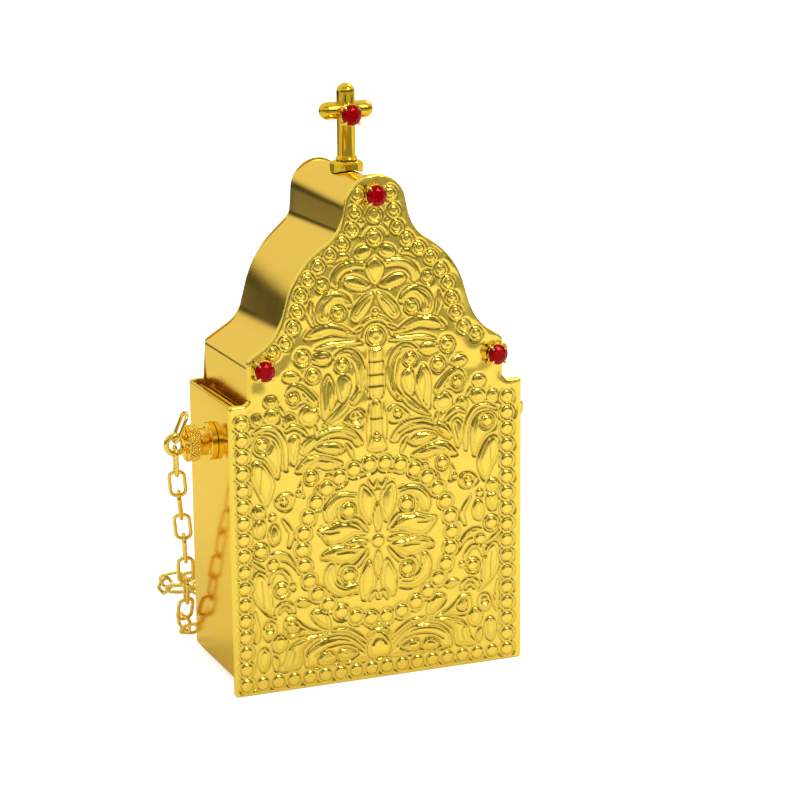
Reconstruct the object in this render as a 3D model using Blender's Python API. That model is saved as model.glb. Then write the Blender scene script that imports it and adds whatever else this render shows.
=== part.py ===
# Communion pyx: an outer case with a chased front plate, an inner box, a dome-shaped lid with a cross,
# two thumb screws and a neck chain.
# X runs across, Y from front to back and Z up. Sizes are in millimetres and MM turns them into metres.
# They are measured from the ground of the front plate (Y) and from its lower edge (Z).
# The empty pyx_frame then moves everything, so that the origin is the middle of the underside of the case.

import math

import bmesh
import bpy
from mathutils import Matrix, Vector

MM = 0.001
FIT = 0.3

# Case
CASE_HALF_WIDTH = 32.6
CASE_BACK_Y = 38.0
CASE_UNDERSIDE_Z = 1.2
CASE_RIM_Z = 64.9
CASE_FRONT_STEP = 2.0
CASE_WALL = 1.0
CASE_BACK_CORNER = 3.0
CASE_FOOT_CORNER = 1.2

# Inner box, set in from the case
BOX_SIDE_GAP = 2.2
BOX_BACK_GAP = 0.6
BOX_RIM_DROP = 1.4
BOX_WALL = 1.4
BOX_CORNER = 2.0
BOX_FOOT_CORNER = 0.6
BOX_HALF_WIDTH = CASE_HALF_WIDTH - CASE_WALL - BOX_SIDE_GAP
BOX_BACK_Y = CASE_BACK_Y - CASE_WALL - BOX_BACK_GAP
BOX_RIM_Z = CASE_RIM_Z - BOX_RIM_DROP

# Lid, which stands on the rim of the inner box
LID_SIDE_STEP = 0.9
LID_HEIGHT = 50.1
LID_WALL = 1.0
LID_LIP = 0.5
LID_LIP_THICKNESS = 0.6
LID_CROWN_RADIUS = 6.9
LID_NECK_LENGTH = 4.4
LID_NECK_HOLLOW = 4.2
LID_BELLY_START = 3.6
LID_BELLY_RADIUS = 24.0
LID_BELLY_END = 4.6
LID_SKIRT_HOLLOW = 8.0
LID_EAVE_RADIUS = 1.2
LID_HALF_WIDTH = BOX_HALF_WIDTH - LID_SIDE_STEP
LID_BACK_Y = BOX_BACK_Y + FIT
LID_APEX_Z = BOX_RIM_Z + FIT + LID_HEIGHT
# Radius and turn of each stretch from the apex down. An outward turn is negative, and a straight has none.
LID_DOME = (
    (LID_CROWN_RADIUS, 86),
    (LID_NECK_LENGTH, 0),
    (LID_NECK_HOLLOW, -44),
    (LID_BELLY_START, 0),
    (LID_BELLY_RADIUS, 33),
    (LID_BELLY_END, 0),
    (LID_SKIRT_HOLLOW, -43),
)
EAVE_TURN = 58

# Front plate, which stands out past the case and the lid
PLATE_SIDE_MARGIN = 2.4
PLATE_RIM_MARGIN = 1.8
PLATE_DOME_MARGIN = 1.9
PLATE_APEX_MARGIN = 1.6
PLATE_THICKNESS = 1.2
PLATE_CORNER = 0.8
PLATE_SHOULDER_FILLET = 1.4
PLATE_CROWN_RADIUS = 7.15
PLATE_NECK_LENGTH = 3.3
PLATE_NECK_HOLLOW = 9.07
PLATE_BELLY_RADIUS = 19.6
PLATE_BELLY_END = 3.3
PLATE_SKIRT_HOLLOW = 14.2
PLATE_SKIRT_END_HOLLOW = 9.0
PLATE_EAVE_RADIUS = 2.2
PLATE_HALF_WIDTH = CASE_HALF_WIDTH + PLATE_SIDE_MARGIN
PLATE_SHOULDER_Z = CASE_RIM_Z + PLATE_RIM_MARGIN
PLATE_DOME_HALF_WIDTH = LID_HALF_WIDTH + PLATE_DOME_MARGIN
PLATE_APEX_Z = LID_APEX_Z + PLATE_APEX_MARGIN
PLATE_DOME = (
    (PLATE_CROWN_RADIUS, 78),
    (PLATE_NECK_LENGTH, 0),
    (PLATE_NECK_HOLLOW, -48),
    (PLATE_BELLY_RADIUS, 44),
    (PLATE_BELLY_END, 0),
    (PLATE_SKIRT_HOLLOW, -24),
    (PLATE_SKIRT_END_HOLLOW, -18),
)

# Relief on the front plate
RELIEF_SHIFT = -0.5
RELIEF_ROOT = 0.35
BEAD_PITCH = 3.76
BEAD_RADIUS = 1.45
BEAD_HEIGHT = 0.85
BORDER_MARGIN = 3.2
BORDER_LOW_Z = 2.6
BORDER_HALF_WIDTH = PLATE_HALF_WIDTH - BORDER_MARGIN
DOME_BEAD_INSET = 2.85
DOME_BEAD_PITCH = 3.75
DOME_BEAD_TOP_DROP = 3.9
STONE_CLEARANCE = 4.6
MEDALLION_Z = 32.5
MEDALLION_RADIUS = 18.1
MEDALLION_BEADS = 30
FORM_HEIGHT = 0.9
ARCH_HEIGHT = 0.7

# Thumb screws
SCREW_Y = 19.0
SCREW_RIM_DROP = 10.2
SCREW_Z = CASE_RIM_Z - SCREW_RIM_DROP
SCREW_SIDES = 16
FLANGE_RADIUS = 4.3
FLANGE_THICKNESS = 1.3
SLEEVE_RADIUS = 3.1
SLEEVE_LENGTH = 3.4
SLEEVE_FILLET = 0.3
SCREW_SHANK_RADIUS = 1.5
KNOB_RADIUS = 4.2
KNOB_LENGTH = 2.7
KNOB_EDGE = 0.35
NECK_RADIUS = 1.3
NECK_TAPER = 0.3
EYE_RADIUS = 2.1
EYE_WIRE = 0.65
EYE_SINK = 0.55
EYE_STEPS = 14
EYE_SIDES = 6
FLANGE_START = CASE_HALF_WIDTH + FIT
SLEEVE_END = FLANGE_START + SLEEVE_LENGTH
KNOB_START = SLEEVE_END + FIT
KNOB_END = KNOB_START + KNOB_LENGTH
EYE_REACH = KNOB_END + EYE_RADIUS + EYE_WIRE - EYE_SINK

# Cross and its collar
CROSS_X = 0.5
CROSS_Y = SCREW_Y
COLLAR_WIDTH = 7.0
COLLAR_RISE = 2.1
COLLAR_CHAMFER = 0.7
COLLAR_SKIRT = 1.5
COLLAR_BORE_DEPTH = 2.2
SHAFT_RADIUS = 2.03
ARM_RADIUS = 1.98
CROSS_HEIGHT = 17.4
CROSS_HEAD = 6.1
ARM_HALF_SPAN = 6.35
CROSS_SIDES = 12
COLLAR_TOP_Z = LID_APEX_Z + COLLAR_RISE
CROSS_TOP_Z = COLLAR_TOP_Z + CROSS_HEIGHT
ARM_Z = CROSS_TOP_Z - CROSS_HEAD

# Stones and settings
STONE_RADIUS = 2.25
STONE_TABLE_RADIUS = 1.3
STONE_CROWN = 0.75
STONE_GIRDLE = 0.15
STONE_CULET_RADIUS = 0.5
STONE_PAVILION = 0.75
SETTING_RADIUS = 2.5
SETTING_FOOT_RADIUS = 2.0
SETTING_HEIGHT = 1.5
SETTING_FLOOR = 0.4
SETTING_LIP = 0.35
SETTING_SIDES = 8
SEAT_FOOT_RADIUS = 0.78
CLAW_HEIGHT = 2.3
CLAW_WIDTH = 0.7
CLAW_THICKNESS = 0.45
CLAW_OVERLAP = 0.2
CLAW_LEAN = 0.12
TOP_STONE_DROP = 4.5
SIDE_STONE_INSET = 2.7
SIDE_STONE_SHIFT = 0.7
SIDE_STONE_RISE = 6.95
SIDE_STONE_TILT = 0.65
CROSS_STONE_DROP = 0.8

# Chain
LINK_LENGTH = 8.0
LINK_WIDTH = 4.3
LINK_WIRE = 0.9
LINK_BEND = 1.0
LINK_BITE = 0.14
LEAN_DEGREES = 24.0
LEFT_STRAND_ROLL = -80.0
RIGHT_STRAND_ROLL = 35.0
ROUTE_STEP = 0.1
LYING_GAP = 7.5
LYING_SPACING = 10.0
LYING_RUNS = 5
LYING_RIGHT_X = 23.5
LYING_LEFT_X = -23.4
LYING_SLANT = 0.41
LYING_LOOP_X = -22.4
LYING_RETURN_GAP = 0.4
LYING_FIRST_Y = CASE_BACK_Y + LYING_GAP
LYING_RETURN_X = CASE_HALF_WIDTH + LYING_RETURN_GAP
# The outer side of a link's three-sided wire, and its inner edge, as shares of the wire from its middle.
WIRE_OUTER = 0.4
WIRE_INNER = 0.6
# Points of the hanging strands: how far out of the case's side, how far back of the screw, and the height.
STRAND_POINTS = (
    (8.7, 0.9, 49.6),
    (7.0, 4.4, 40.7),
    (4.9, 8.3, 30.0),
    (3.7, 11.6, 20.5),
    (2.7, 15.2, 12.5),
    (2.3, 19.0, 6.4),
)

GILT = ((0.86, 0.58, 0.16), 0.18, 1.0)
GILT_BRIGHT = ((0.92, 0.68, 0.26), 0.1, 1.0)
GILT_DEEP = ((0.72, 0.42, 0.07), 0.25, 1.0)
RUBY = ((0.55, 0.0, 0.02), 0.05, 0.0)


# Scene, materials and small helpers

for old in list(bpy.data.objects):
    bpy.data.objects.remove(old)

parts = bpy.data.collections.new("communion_pyx")
bpy.context.scene.collection.children.link(parts)
cutters = bpy.data.collections.new("cutters")
bpy.context.scene.collection.children.link(cutters)
cutters.hide_render = True

frame = bpy.data.objects.new("pyx_frame", None)
frame.location = (0, -(PLATE_THICKNESS + FIT + CASE_BACK_Y) / 2 * MM, -CASE_UNDERSIDE_Z * MM)
parts.objects.link(frame)


def material(name, look):
    colour, roughness, metallic = look
    made = bpy.data.materials.new(name)
    made.use_nodes = True
    shader = made.node_tree.nodes["Principled BSDF"]
    shader.inputs["Base Color"].default_value = (*colour, 1)
    shader.inputs["Roughness"].default_value = roughness
    shader.inputs["Metallic"].default_value = metallic
    return made


def place(name, form, look=None, smooth=False):
    """Makes a bmesh in millimetres an object: a part with a material, or a cutter if no look is given."""
    bmesh.ops.recalc_face_normals(form, faces=form.faces)
    bmesh.ops.scale(form, vec=(MM, MM, MM), verts=form.verts)
    mesh = bpy.data.meshes.new(name)
    form.to_mesh(mesh)
    form.free()
    obj = bpy.data.objects.new(name, mesh)
    obj.parent = frame
    if look is None:
        cutters.objects.link(obj)
        obj.hide_render = True
        obj.display_type = "WIRE"
    else:
        parts.objects.link(obj)
        mesh.materials.append(material(name + "_finish", look))
    if smooth:
        mesh.shade_smooth()
        mesh.set_sharp_from_angle(angle=math.radians(35))
    return obj


def boolean(obj, other, operation, crossing=False):
    """Cuts or joins; crossing is for a cutter whose own shapes run into each other."""
    cut = obj.modifiers.new(operation.lower() + "_" + other.name, "BOOLEAN")
    cut.operation = operation
    cut.object = other
    cut.solver = "EXACT"
    cut.use_self = crossing


def box_form(low, high):
    """A box between two corners."""
    form = bmesh.new()
    size = Vector(high) - Vector(low)
    middle = (Vector(high) + Vector(low)) / 2
    matrix = Matrix.Translation(middle) @ Matrix.Diagonal((*size, 1))
    bmesh.ops.create_cube(form, size=1, matrix=matrix)
    return form


def turned_form(stations, axis, centre, sides, turn=0.0):
    """Cone stretches end to end along an axis, closed; a station is a place along it and a radius."""
    form = bmesh.new()
    rings = []
    for along, radius in stations:
        ring = []
        for k in range(sides if radius else 1):
            angle = math.tau * (k + turn) / sides
            ring.append(form.verts.new((radius * math.cos(angle), radius * math.sin(angle), along)))
        rings.append(ring)
    for low, high in zip(rings, rings[1:]):
        for k in range(sides):
            corners = [low[k % len(low)], low[(k + 1) % len(low)]]
            corners += [high[(k + 1) % len(high)], high[k % len(high)]]
            form.faces.new(list(dict.fromkeys(corners)))
    for ring in (rings[0], rings[-1]):
        if len(ring) > 1:
            form.faces.new(ring)
    spin = Vector((0, 0, 1)).rotation_difference(Vector(axis)).to_matrix().to_4x4()
    verts = [vert for ring in rings for vert in ring]
    bmesh.ops.transform(form, matrix=Matrix.Translation(centre) @ spin, verts=verts)
    return form


def slab_form(outline, front, back):
    """A flat outline in X and Z, between two depths."""
    form = bmesh.new()
    face = form.faces.new([form.verts.new((x, front, z)) for x, z in outline])
    pulled = bmesh.ops.extrude_face_region(form, geom=[face])["geom"]
    verts = [item for item in pulled if isinstance(item, bmesh.types.BMVert)]
    bmesh.ops.translate(form, vec=(0, back - front, 0), verts=verts)
    return form


# Outlines of the plate and the lid

def walk(start, moves, inset=0.0, step=12):
    """Points from a start heading along +X; a move is a radius and its turn, or a length and no turn."""
    x, z = start[0], start[1] - inset
    heading = 0.0
    points = [(x, z)]
    for size, turn in moves:
        count = max(1, math.ceil(abs(turn) / step))
        if turn:
            part = math.radians(turn / count)
            radius = size - math.copysign(inset, turn)
            chord = 2 * radius * math.sin(abs(part) / 2)
        else:
            part = 0.0
            chord = size
        for _ in range(count):
            heading -= part / 2
            x += chord * math.cos(heading)
            z += chord * math.sin(heading)
            heading -= part / 2
            points.append((x, z))
    return points, heading


def dome(apex_z, moves, half_width, eave_radius, inset=0.0):
    """Half of a dome's outline, from its apex to where its upright side begins at the half width."""
    points, heading = walk((0, apex_z), moves)
    last = walk((0, 0), ((eave_radius, EAVE_TURN),))[0][-1]
    across = last[0] * math.cos(heading) - last[1] * math.sin(heading)
    straight = (half_width - points[-1][0] - across) / math.cos(heading)
    return walk((0, apex_z), (*moves, (straight, 0), (eave_radius, EAVE_TURN)), inset)[0]


def mirrored(half):
    return half + [(-x, z) for x, z in reversed(half) if x > 1e-6]


def plate_outline():
    half = dome(PLATE_APEX_Z, PLATE_DOME, PLATE_DOME_HALF_WIDTH, PLATE_EAVE_RADIUS)
    fillet = PLATE_SHOULDER_FILLET
    for k in range(4):
        angle = math.radians(30 * k)
        half.append(
            (
                PLATE_DOME_HALF_WIDTH + fillet * (1 - math.cos(angle)),
                PLATE_SHOULDER_Z + fillet * (1 - math.sin(angle)),
            )
        )
    corner = PLATE_CORNER
    for centre_z, first in ((PLATE_SHOULDER_Z - corner, 90), (corner, 0)):
        for k in range(3):
            angle = math.radians(first - 45 * k)
            x = PLATE_HALF_WIDTH - corner + corner * math.cos(angle)
            half.append((x, centre_z + corner * math.sin(angle)))
    return mirrored(half)


def lid_outline(inset, bottom_z):
    half = dome(LID_APEX_Z, LID_DOME, LID_HALF_WIDTH, LID_EAVE_RADIUS, inset)
    half.append((LID_HALF_WIDTH - inset, bottom_z))
    return mirrored(half)


# Relief of the plate: raised forms, each a footprint with sloping sides

def raised(form, footprint):
    """A footprint raised from inside the plate; gives back the points of its top."""
    face = form.faces.new([form.verts.new((x, RELIEF_ROOT, z)) for x, z in footprint])
    pulled = bmesh.ops.extrude_face_region(form, geom=[face])["geom"]
    return [item for item in pulled if isinstance(item, bmesh.types.BMVert)]


def bead(form, x, z):
    """A bead as a six-sided cone from inside the plate."""
    depth = BEAD_HEIGHT + RELIEF_ROOT
    matrix = Matrix.Translation((x, RELIEF_ROOT - depth / 2, z)) @ Matrix.Rotation(math.pi / 2, 4, "X")
    root = BEAD_RADIUS * depth / BEAD_HEIGHT
    bmesh.ops.create_cone(
        form, cap_ends=True, segments=6, radius1=root, radius2=0, depth=depth, matrix=matrix
    )


def leaf(form, x, z, length, width, degrees, fullness=0.5):
    """A leaf pointed at both ends with a ridge along it; the fullness says where it is widest."""
    turn = math.radians(degrees)
    ahead = Vector((math.cos(turn), 0, math.sin(turn)))
    aside = Vector((-math.sin(turn), 0, math.cos(turn)))
    wide = (fullness - 0.5) * 0.6
    upper = [(-0.5, 0.0), (wide - 0.18, 0.45), (wide + 0.18, 0.45), (0.5, 0.0)]
    outline = upper + [(a, -b) for a, b in upper[2:0:-1]]
    footprint = []
    for a, b in outline:
        spot = Vector((x, 0, z)) + ahead * a * length + aside * b * width
        footprint.append((spot.x, spot.z))
    top = raised(form, footprint)
    for vert in top:
        along = (vert.co - Vector((x, vert.co.y, z))).dot(ahead)
        vert.co = Vector((x, -FORM_HEIGHT, z)) + ahead * along * 0.7
    bmesh.ops.remove_doubles(form, verts=top, dist=0.001)


def arch(form, x, z, radius, width, first, last):
    """A band that follows an arc and narrows to both ends."""
    steps = 5
    outer = []
    inner = []
    for k in range(steps + 1):
        angle = math.radians(first + (last - first) * k / steps)
        spread = width * math.sin(math.pi * k / steps) / 2
        ahead = Vector((math.cos(angle), math.sin(angle)))
        outer.append(tuple(Vector((x, z)) + ahead * (radius + spread)))
        inner.append(tuple(Vector((x, z)) + ahead * (radius - spread)))
    for vert in raised(form, outer + inner[-2:0:-1]):
        vert.co.y = -ARCH_HEIGHT


# Leaves of one half of the plate: place, length, width, direction and where each is widest.
MEDALLION_LEAVES = (
    (8.3, 35.4, 11.5, 3.6, 6, 0.5),
    (8.2, 30.3, 11.0, 3.6, -6, 0.5),
    (5.4, 32.8, 5.2, 1.4, 0, 0.5),
    (7.2, 25.2, 5.0, 3.2, -35, 0.6),
    (7.4, 40.3, 5.0, 3.2, 35, 0.6),
    (7.9, 44.3, 7.0, 1.8, -12, 0.5),
    (8.2, 21.0, 7.0, 1.6, 12, 0.5),
    (2.9, 22.5, 7.5, 1.9, -68, 0.6),
    (2.9, 42.9, 7.5, 1.9, 68, 0.6),
)
FIELD_LEAVES = (
    (9.0, 6.9, 7.0, 2.2, 0, 0.6),
    (15.0, 15.6, 5.4, 2.6, -55, 0.4),
    (21.0, 14.2, 5.0, 3.0, 60, 0.6),
    (25.9, 15.0, 4.6, 2.6, 80, 0.5),
    (24.0, 8.0, 6.0, 2.8, 75, 0.5),
    (22.2, 19.0, 4.0, 2.6, 60, 0.5),
    (26.6, 20.8, 6.0, 2.4, -60, 0.5),
    (27.6, 26.8, 5.0, 2.0, 80, 0.5),
    (23.4, 28.7, 4.4, 2.4, -35, 0.5),
    (27.6, 32.2, 3.6, 2.8, 0, 0.5),
    (22.9, 34.6, 6.5, 1.8, -70, 0.5),
    (25.8, 37.2, 4.6, 2.0, 55, 0.5),
    (21.2, 44.2, 5.0, 2.6, 20, 0.5),
    (26.6, 45.5, 6.5, 2.2, -60, 0.5),
    (13.6, 51.6, 13.0, 2.8, -6, 0.5),
    (5.4, 61.6, 5.2, 3.4, -20, 0.6),
    (19.4, 61.2, 5.2, 2.2, -60, 0.5),
    (16.9, 66.4, 6.5, 3.0, -40, 0.4),
    (22.9, 68.4, 4.2, 2.6, -20, 0.5),
    (20.8, 73.1, 4.6, 2.2, -15, 0.5),
    (15.6, 72.6, 4.4, 2.6, -30, 0.5),
    (17.5, 76.8, 3.6, 2.8, 0, 0.5),
    (8.2, 72.9, 4.6, 3.4, 80, 0.5),
    (10.6, 66.3, 6.0, 2.0, -80, 0.5),
    (6.8, 66.6, 6.0, 1.8, 70, 0.5),
    (10.5, 80.6, 9.0, 1.8, -14, 0.5),
    (8.9, 85.0, 4.2, 3.2, 80, 0.5),
    (3.4, 86.0, 7.0, 2.4, -55, 0.5),
    (5.0, 91.2, 6.0, 3.0, 15, 0.6),
    (11.4, 89.6, 3.0, 2.2, 60, 0.5),
    (2.9, 98.2, 3.4, 2.8, -35, 0.5),
)
MIDDLE_LEAVES = (
    (27.0, 6.2, 1.8, 90, 0.6),
    (38.4, 6.0, 1.8, 90, 0.4),
    (94.0, 4.6, 3.0, 90, 0.6),
    (101.7, 3.2, 3.0, 90, 0.5),
)
# Arcs of one half of the plate: centre, radius, width and the two ends in degrees.
FIELD_ARCHES = (
    (10.6, 2.2, 9.2, 2.2, 35, 145),
    (26.0, 56.4, 3.6, 1.8, -40, 175),
    (10.4, 50.2, 8.4, 2.4, 40, 140),
    (7.4, 71.0, 6.0, 2.0, -55, 170),
    (9.0, 85.0, 4.4, 1.6, -50, 160),
)


def relief():
    form = bmesh.new()
    columns = math.floor((PLATE_SHOULDER_Z - 2 * BORDER_LOW_Z) / BEAD_PITCH) + 1
    rows = round(2 * BORDER_HALF_WIDTH / BEAD_PITCH)
    for k in range(columns):
        for side in (-1, 1):
            bead(form, side * BORDER_HALF_WIDTH, BORDER_LOW_Z + k * BEAD_PITCH)
    for k in range(1, rows):
        bead(form, BORDER_HALF_WIDTH * (2 * k / rows - 1), BORDER_LOW_Z)
    for k in range(MEDALLION_BEADS):
        angle = math.tau * k / MEDALLION_BEADS
        x = MEDALLION_RADIUS * math.cos(angle)
        bead(form, x, MEDALLION_Z + MEDALLION_RADIUS * math.sin(angle))
    bead(form, 0, MEDALLION_Z)
    for place_x, place_z in dome_beads():
        for side in (-1, 1):
            bead(form, side * place_x, place_z)
    for x, z, length, width, degrees, fullness in MEDALLION_LEAVES + FIELD_LEAVES:
        leaf(form, x, z, length, width, degrees, fullness)
        leaf(form, -x, z, length, width, 180 - degrees, fullness)
    for z, length, width, degrees, fullness in MIDDLE_LEAVES:
        leaf(form, 0, z, length, width, degrees, fullness)
    for x, z, radius, width, first, last in FIELD_ARCHES:
        arch(form, x, z, radius, width, first, last)
        arch(form, -x, z, radius, width, 180 - first, 180 - last)
    bmesh.ops.translate(form, vec=(RELIEF_SHIFT, 0, 0), verts=form.verts)
    return form


def dome_beads():
    """Bead places inside the dome's outline, evenly spaced from beside the top stone to the eave."""
    line = dome(
        PLATE_APEX_Z,
        PLATE_DOME,
        PLATE_DOME_HALF_WIDTH,
        PLATE_EAVE_RADIUS + DOME_BEAD_INSET,
        DOME_BEAD_INSET,
    )
    line = [point for point in line if point[1] < PLATE_APEX_Z - DOME_BEAD_TOP_DROP]
    places = [line[0]]
    for point in line:
        if math.dist(places[-1], point) >= DOME_BEAD_PITCH:
            places.append(point)
    stone = (PLATE_DOME_HALF_WIDTH - SIDE_STONE_INSET, PLATE_SHOULDER_Z + SIDE_STONE_RISE)
    return [spot for spot in places if math.dist(spot, stone) > STONE_CLEARANCE]


def front_plate():
    plate = place("front_plate", slab_form(plate_outline(), 0, PLATE_THICKNESS), GILT)
    boolean(plate, place("relief_forms", relief()), "UNION", crossing=True)


# Case and inner box

def open_box(name, low, high, wall, corners, look):
    """A box open at the top: the outside less the inside, with rounded edges at the back and the foot."""
    upright, foot = corners
    form = box_form(low, high)
    edges = [
        edge
        for edge in form.edges
        if abs(edge.verts[0].co.z - edge.verts[1].co.z) > 1
        and edge.verts[0].co.y > (low[1] + high[1]) / 2
    ]
    bmesh.ops.bevel(form, geom=edges, offset=upright, segments=4, profile=0.5, affect="EDGES")
    edges = [
        edge
        for edge in form.edges
        if max(vert.co.z for vert in edge.verts) < low[2] + 0.01
        and max(vert.co.y for vert in edge.verts) > low[1] + 0.01
    ]
    bmesh.ops.bevel(form, geom=edges, offset=foot, segments=2, profile=0.5, affect="EDGES")
    shell = place(name, form, look)
    inside_low = (low[0] + wall, low[1] + wall, low[2] + wall)
    inside_high = (high[0] - wall, high[1] - wall, high[2] + wall)
    hollow = box_form(inside_low, inside_high)
    edges = [
        edge
        for edge in hollow.edges
        if abs(edge.verts[0].co.z - edge.verts[1].co.z) > 1
        and edge.verts[0].co.y > (low[1] + high[1]) / 2
    ]
    bmesh.ops.bevel(hollow, geom=edges, offset=upright - wall, segments=4, profile=0.5, affect="EDGES")
    boolean(shell, place(name + "_hollow", hollow), "DIFFERENCE")
    return shell


def case_and_box():
    front = PLATE_THICKNESS + FIT
    low = (-CASE_HALF_WIDTH, front, CASE_UNDERSIDE_Z)
    high = (CASE_HALF_WIDTH, CASE_BACK_Y, CASE_RIM_Z)
    corners = (CASE_BACK_CORNER, CASE_FOOT_CORNER)
    case = open_box("case", low, high, CASE_WALL, corners, GILT_BRIGHT)
    inner = CASE_HALF_WIDTH - CASE_WALL
    step = box_form(
        (-inner, front - FIT, CASE_RIM_Z - CASE_FRONT_STEP),
        (inner, front + CASE_WALL + FIT, CASE_RIM_Z + FIT),
    )
    boolean(case, place("case_front_step", step), "DIFFERENCE")
    reach = CASE_HALF_WIDTH + FIT
    radius = SCREW_SHANK_RADIUS + FIT
    axis = (0, SCREW_Y, SCREW_Z)
    bore = turned_form(((-reach, radius), (reach, radius)), (1, 0, 0), axis, SCREW_SIDES)
    boolean(case, place("case_screw_bore", bore), "DIFFERENCE")
    low = (-BOX_HALF_WIDTH, front + CASE_WALL + FIT, CASE_UNDERSIDE_Z + CASE_WALL + FIT)
    high = (BOX_HALF_WIDTH, BOX_BACK_Y, BOX_RIM_Z)
    open_box("inner_box", low, high, BOX_WALL, (BOX_CORNER, BOX_FOOT_CORNER), GILT)


# Lid, collar and cross

def lid():
    front = PLATE_THICKNESS + FIT
    bottom = BOX_RIM_Z + FIT
    outside = slab_form(lid_outline(0, bottom), front, LID_BACK_Y)
    shell = place("lid", outside, GILT_BRIGHT, smooth=True)
    lip = slab_form(lid_outline(-LID_LIP, bottom), LID_BACK_Y - LID_LIP_THICKNESS, LID_BACK_Y)
    boolean(shell, place("lid_back_lip", lip), "UNION")
    below = bottom - FIT
    hollow = slab_form(lid_outline(LID_WALL, below), front + LID_WALL, LID_BACK_Y - LID_WALL)
    boolean(shell, place("lid_hollow", hollow), "DIFFERENCE")


def collar_and_cross():
    across = COLLAR_WIDTH / 2 / math.cos(math.pi / 8)
    top = COLLAR_TOP_Z
    stations = (
        (LID_APEX_Z - COLLAR_SKIRT, across),
        (top - COLLAR_CHAMFER, across),
        (top, across - COLLAR_CHAMFER),
    )
    upright = (0, 0, 1)
    centre = (CROSS_X, CROSS_Y, 0)
    collar = place("finial_collar", turned_form(stations, upright, centre, 8, turn=0.5), GILT_DEEP)
    saddle = slab_form(lid_outline(-FIT, BOX_RIM_Z), 0, LID_BACK_Y)
    boolean(collar, place("collar_saddle", saddle), "DIFFERENCE")
    bore_radius = SHAFT_RADIUS + FIT
    stations = ((top - COLLAR_BORE_DEPTH, bore_radius), (top + FIT, bore_radius))
    bore = turned_form(stations, upright, centre, CROSS_SIDES)
    boolean(collar, place("collar_bore", bore), "DIFFERENCE")
    foot = top - COLLAR_BORE_DEPTH + FIT
    shaft = turned_form(rod(foot, CROSS_TOP_Z, SHAFT_RADIUS, False), upright, centre, CROSS_SIDES)
    cross = place("cross", shaft, GILT_DEEP, smooth=True)
    stations = rod(-ARM_HALF_SPAN, ARM_HALF_SPAN, ARM_RADIUS, True)
    arms = turned_form(stations, (1, 0, 0), (CROSS_X, CROSS_Y, ARM_Z), CROSS_SIDES)
    boolean(cross, place("cross_arms", arms), "UNION")


def rod(low, high, radius, round_both):
    """Stations of a round bar with a half-round end at the top, and at the foot too where asked."""
    cap = [math.radians(angle) for angle in (0, 30, 60)]
    top = [(high - radius * (1 - math.sin(a)), radius * math.cos(a)) for a in cap] + [(high, 0)]
    if not round_both:
        return [(low, radius)] + top
    foot = [(low + radius * (1 - math.sin(a)), radius * math.cos(a)) for a in reversed(cap)]
    return [(low, 0)] + foot + top


# Stones in claw settings; the setting's axis points to the front

def stone_setting(name, x, base_y, z):
    """A cup with four claws and its stone; base_y is the surface that the cup stands on."""
    floor = FIT + SETTING_FLOOR
    ahead = (0, -1, 0)
    centre = (x, base_y, z)
    stations = ((FIT, SETTING_FOOT_RADIUS), (SETTING_HEIGHT, SETTING_RADIUS))
    cup = place("setting_" + name, turned_form(stations, ahead, centre, SETTING_SIDES), GILT)
    stations = ((floor, SEAT_FOOT_RADIUS), (SETTING_HEIGHT + FIT, SETTING_RADIUS - SETTING_LIP))
    seat = turned_form(stations, ahead, centre, SETTING_SIDES)
    boolean(cup, place("seat_" + name, seat), "DIFFERENCE")
    claws = bmesh.new()
    reach = STONE_RADIUS + FIT
    for k in range(4):
        angle = math.radians(45 + 90 * k)
        claw = box_form(
            (reach - CLAW_OVERLAP, -CLAW_WIDTH / 2, floor),
            (reach + CLAW_THICKNESS, CLAW_WIDTH / 2, CLAW_HEIGHT),
        )
        for vert in claw.verts:
            if vert.co.z > floor + CLAW_THICKNESS:
                vert.co.x -= CLAW_LEAN
        matrix = Matrix.Translation((x, base_y, z)) @ Matrix.Rotation(math.pi / 2, 4, "X")
        bmesh.ops.transform(claw, matrix=matrix @ Matrix.Rotation(angle, 4, "Z"), verts=claw.verts)
        piece = bpy.data.meshes.new("claw")
        claw.to_mesh(piece)
        claw.free()
        claws.from_mesh(piece)
        bpy.data.meshes.remove(piece)
    boolean(cup, place("claws_" + name, claws), "UNION")
    girdle = SETTING_HEIGHT + FIT
    stations = (
        (girdle - STONE_PAVILION, STONE_CULET_RADIUS),
        (girdle, STONE_RADIUS),
        (girdle + STONE_GIRDLE, STONE_RADIUS),
        (girdle + STONE_CROWN, STONE_TABLE_RADIUS),
    )
    place("stone_" + name, turned_form(stations, ahead, centre, SETTING_SIDES, turn=0.5), RUBY)


# Thumb screws, modelled on the right and turned round for the left

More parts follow.
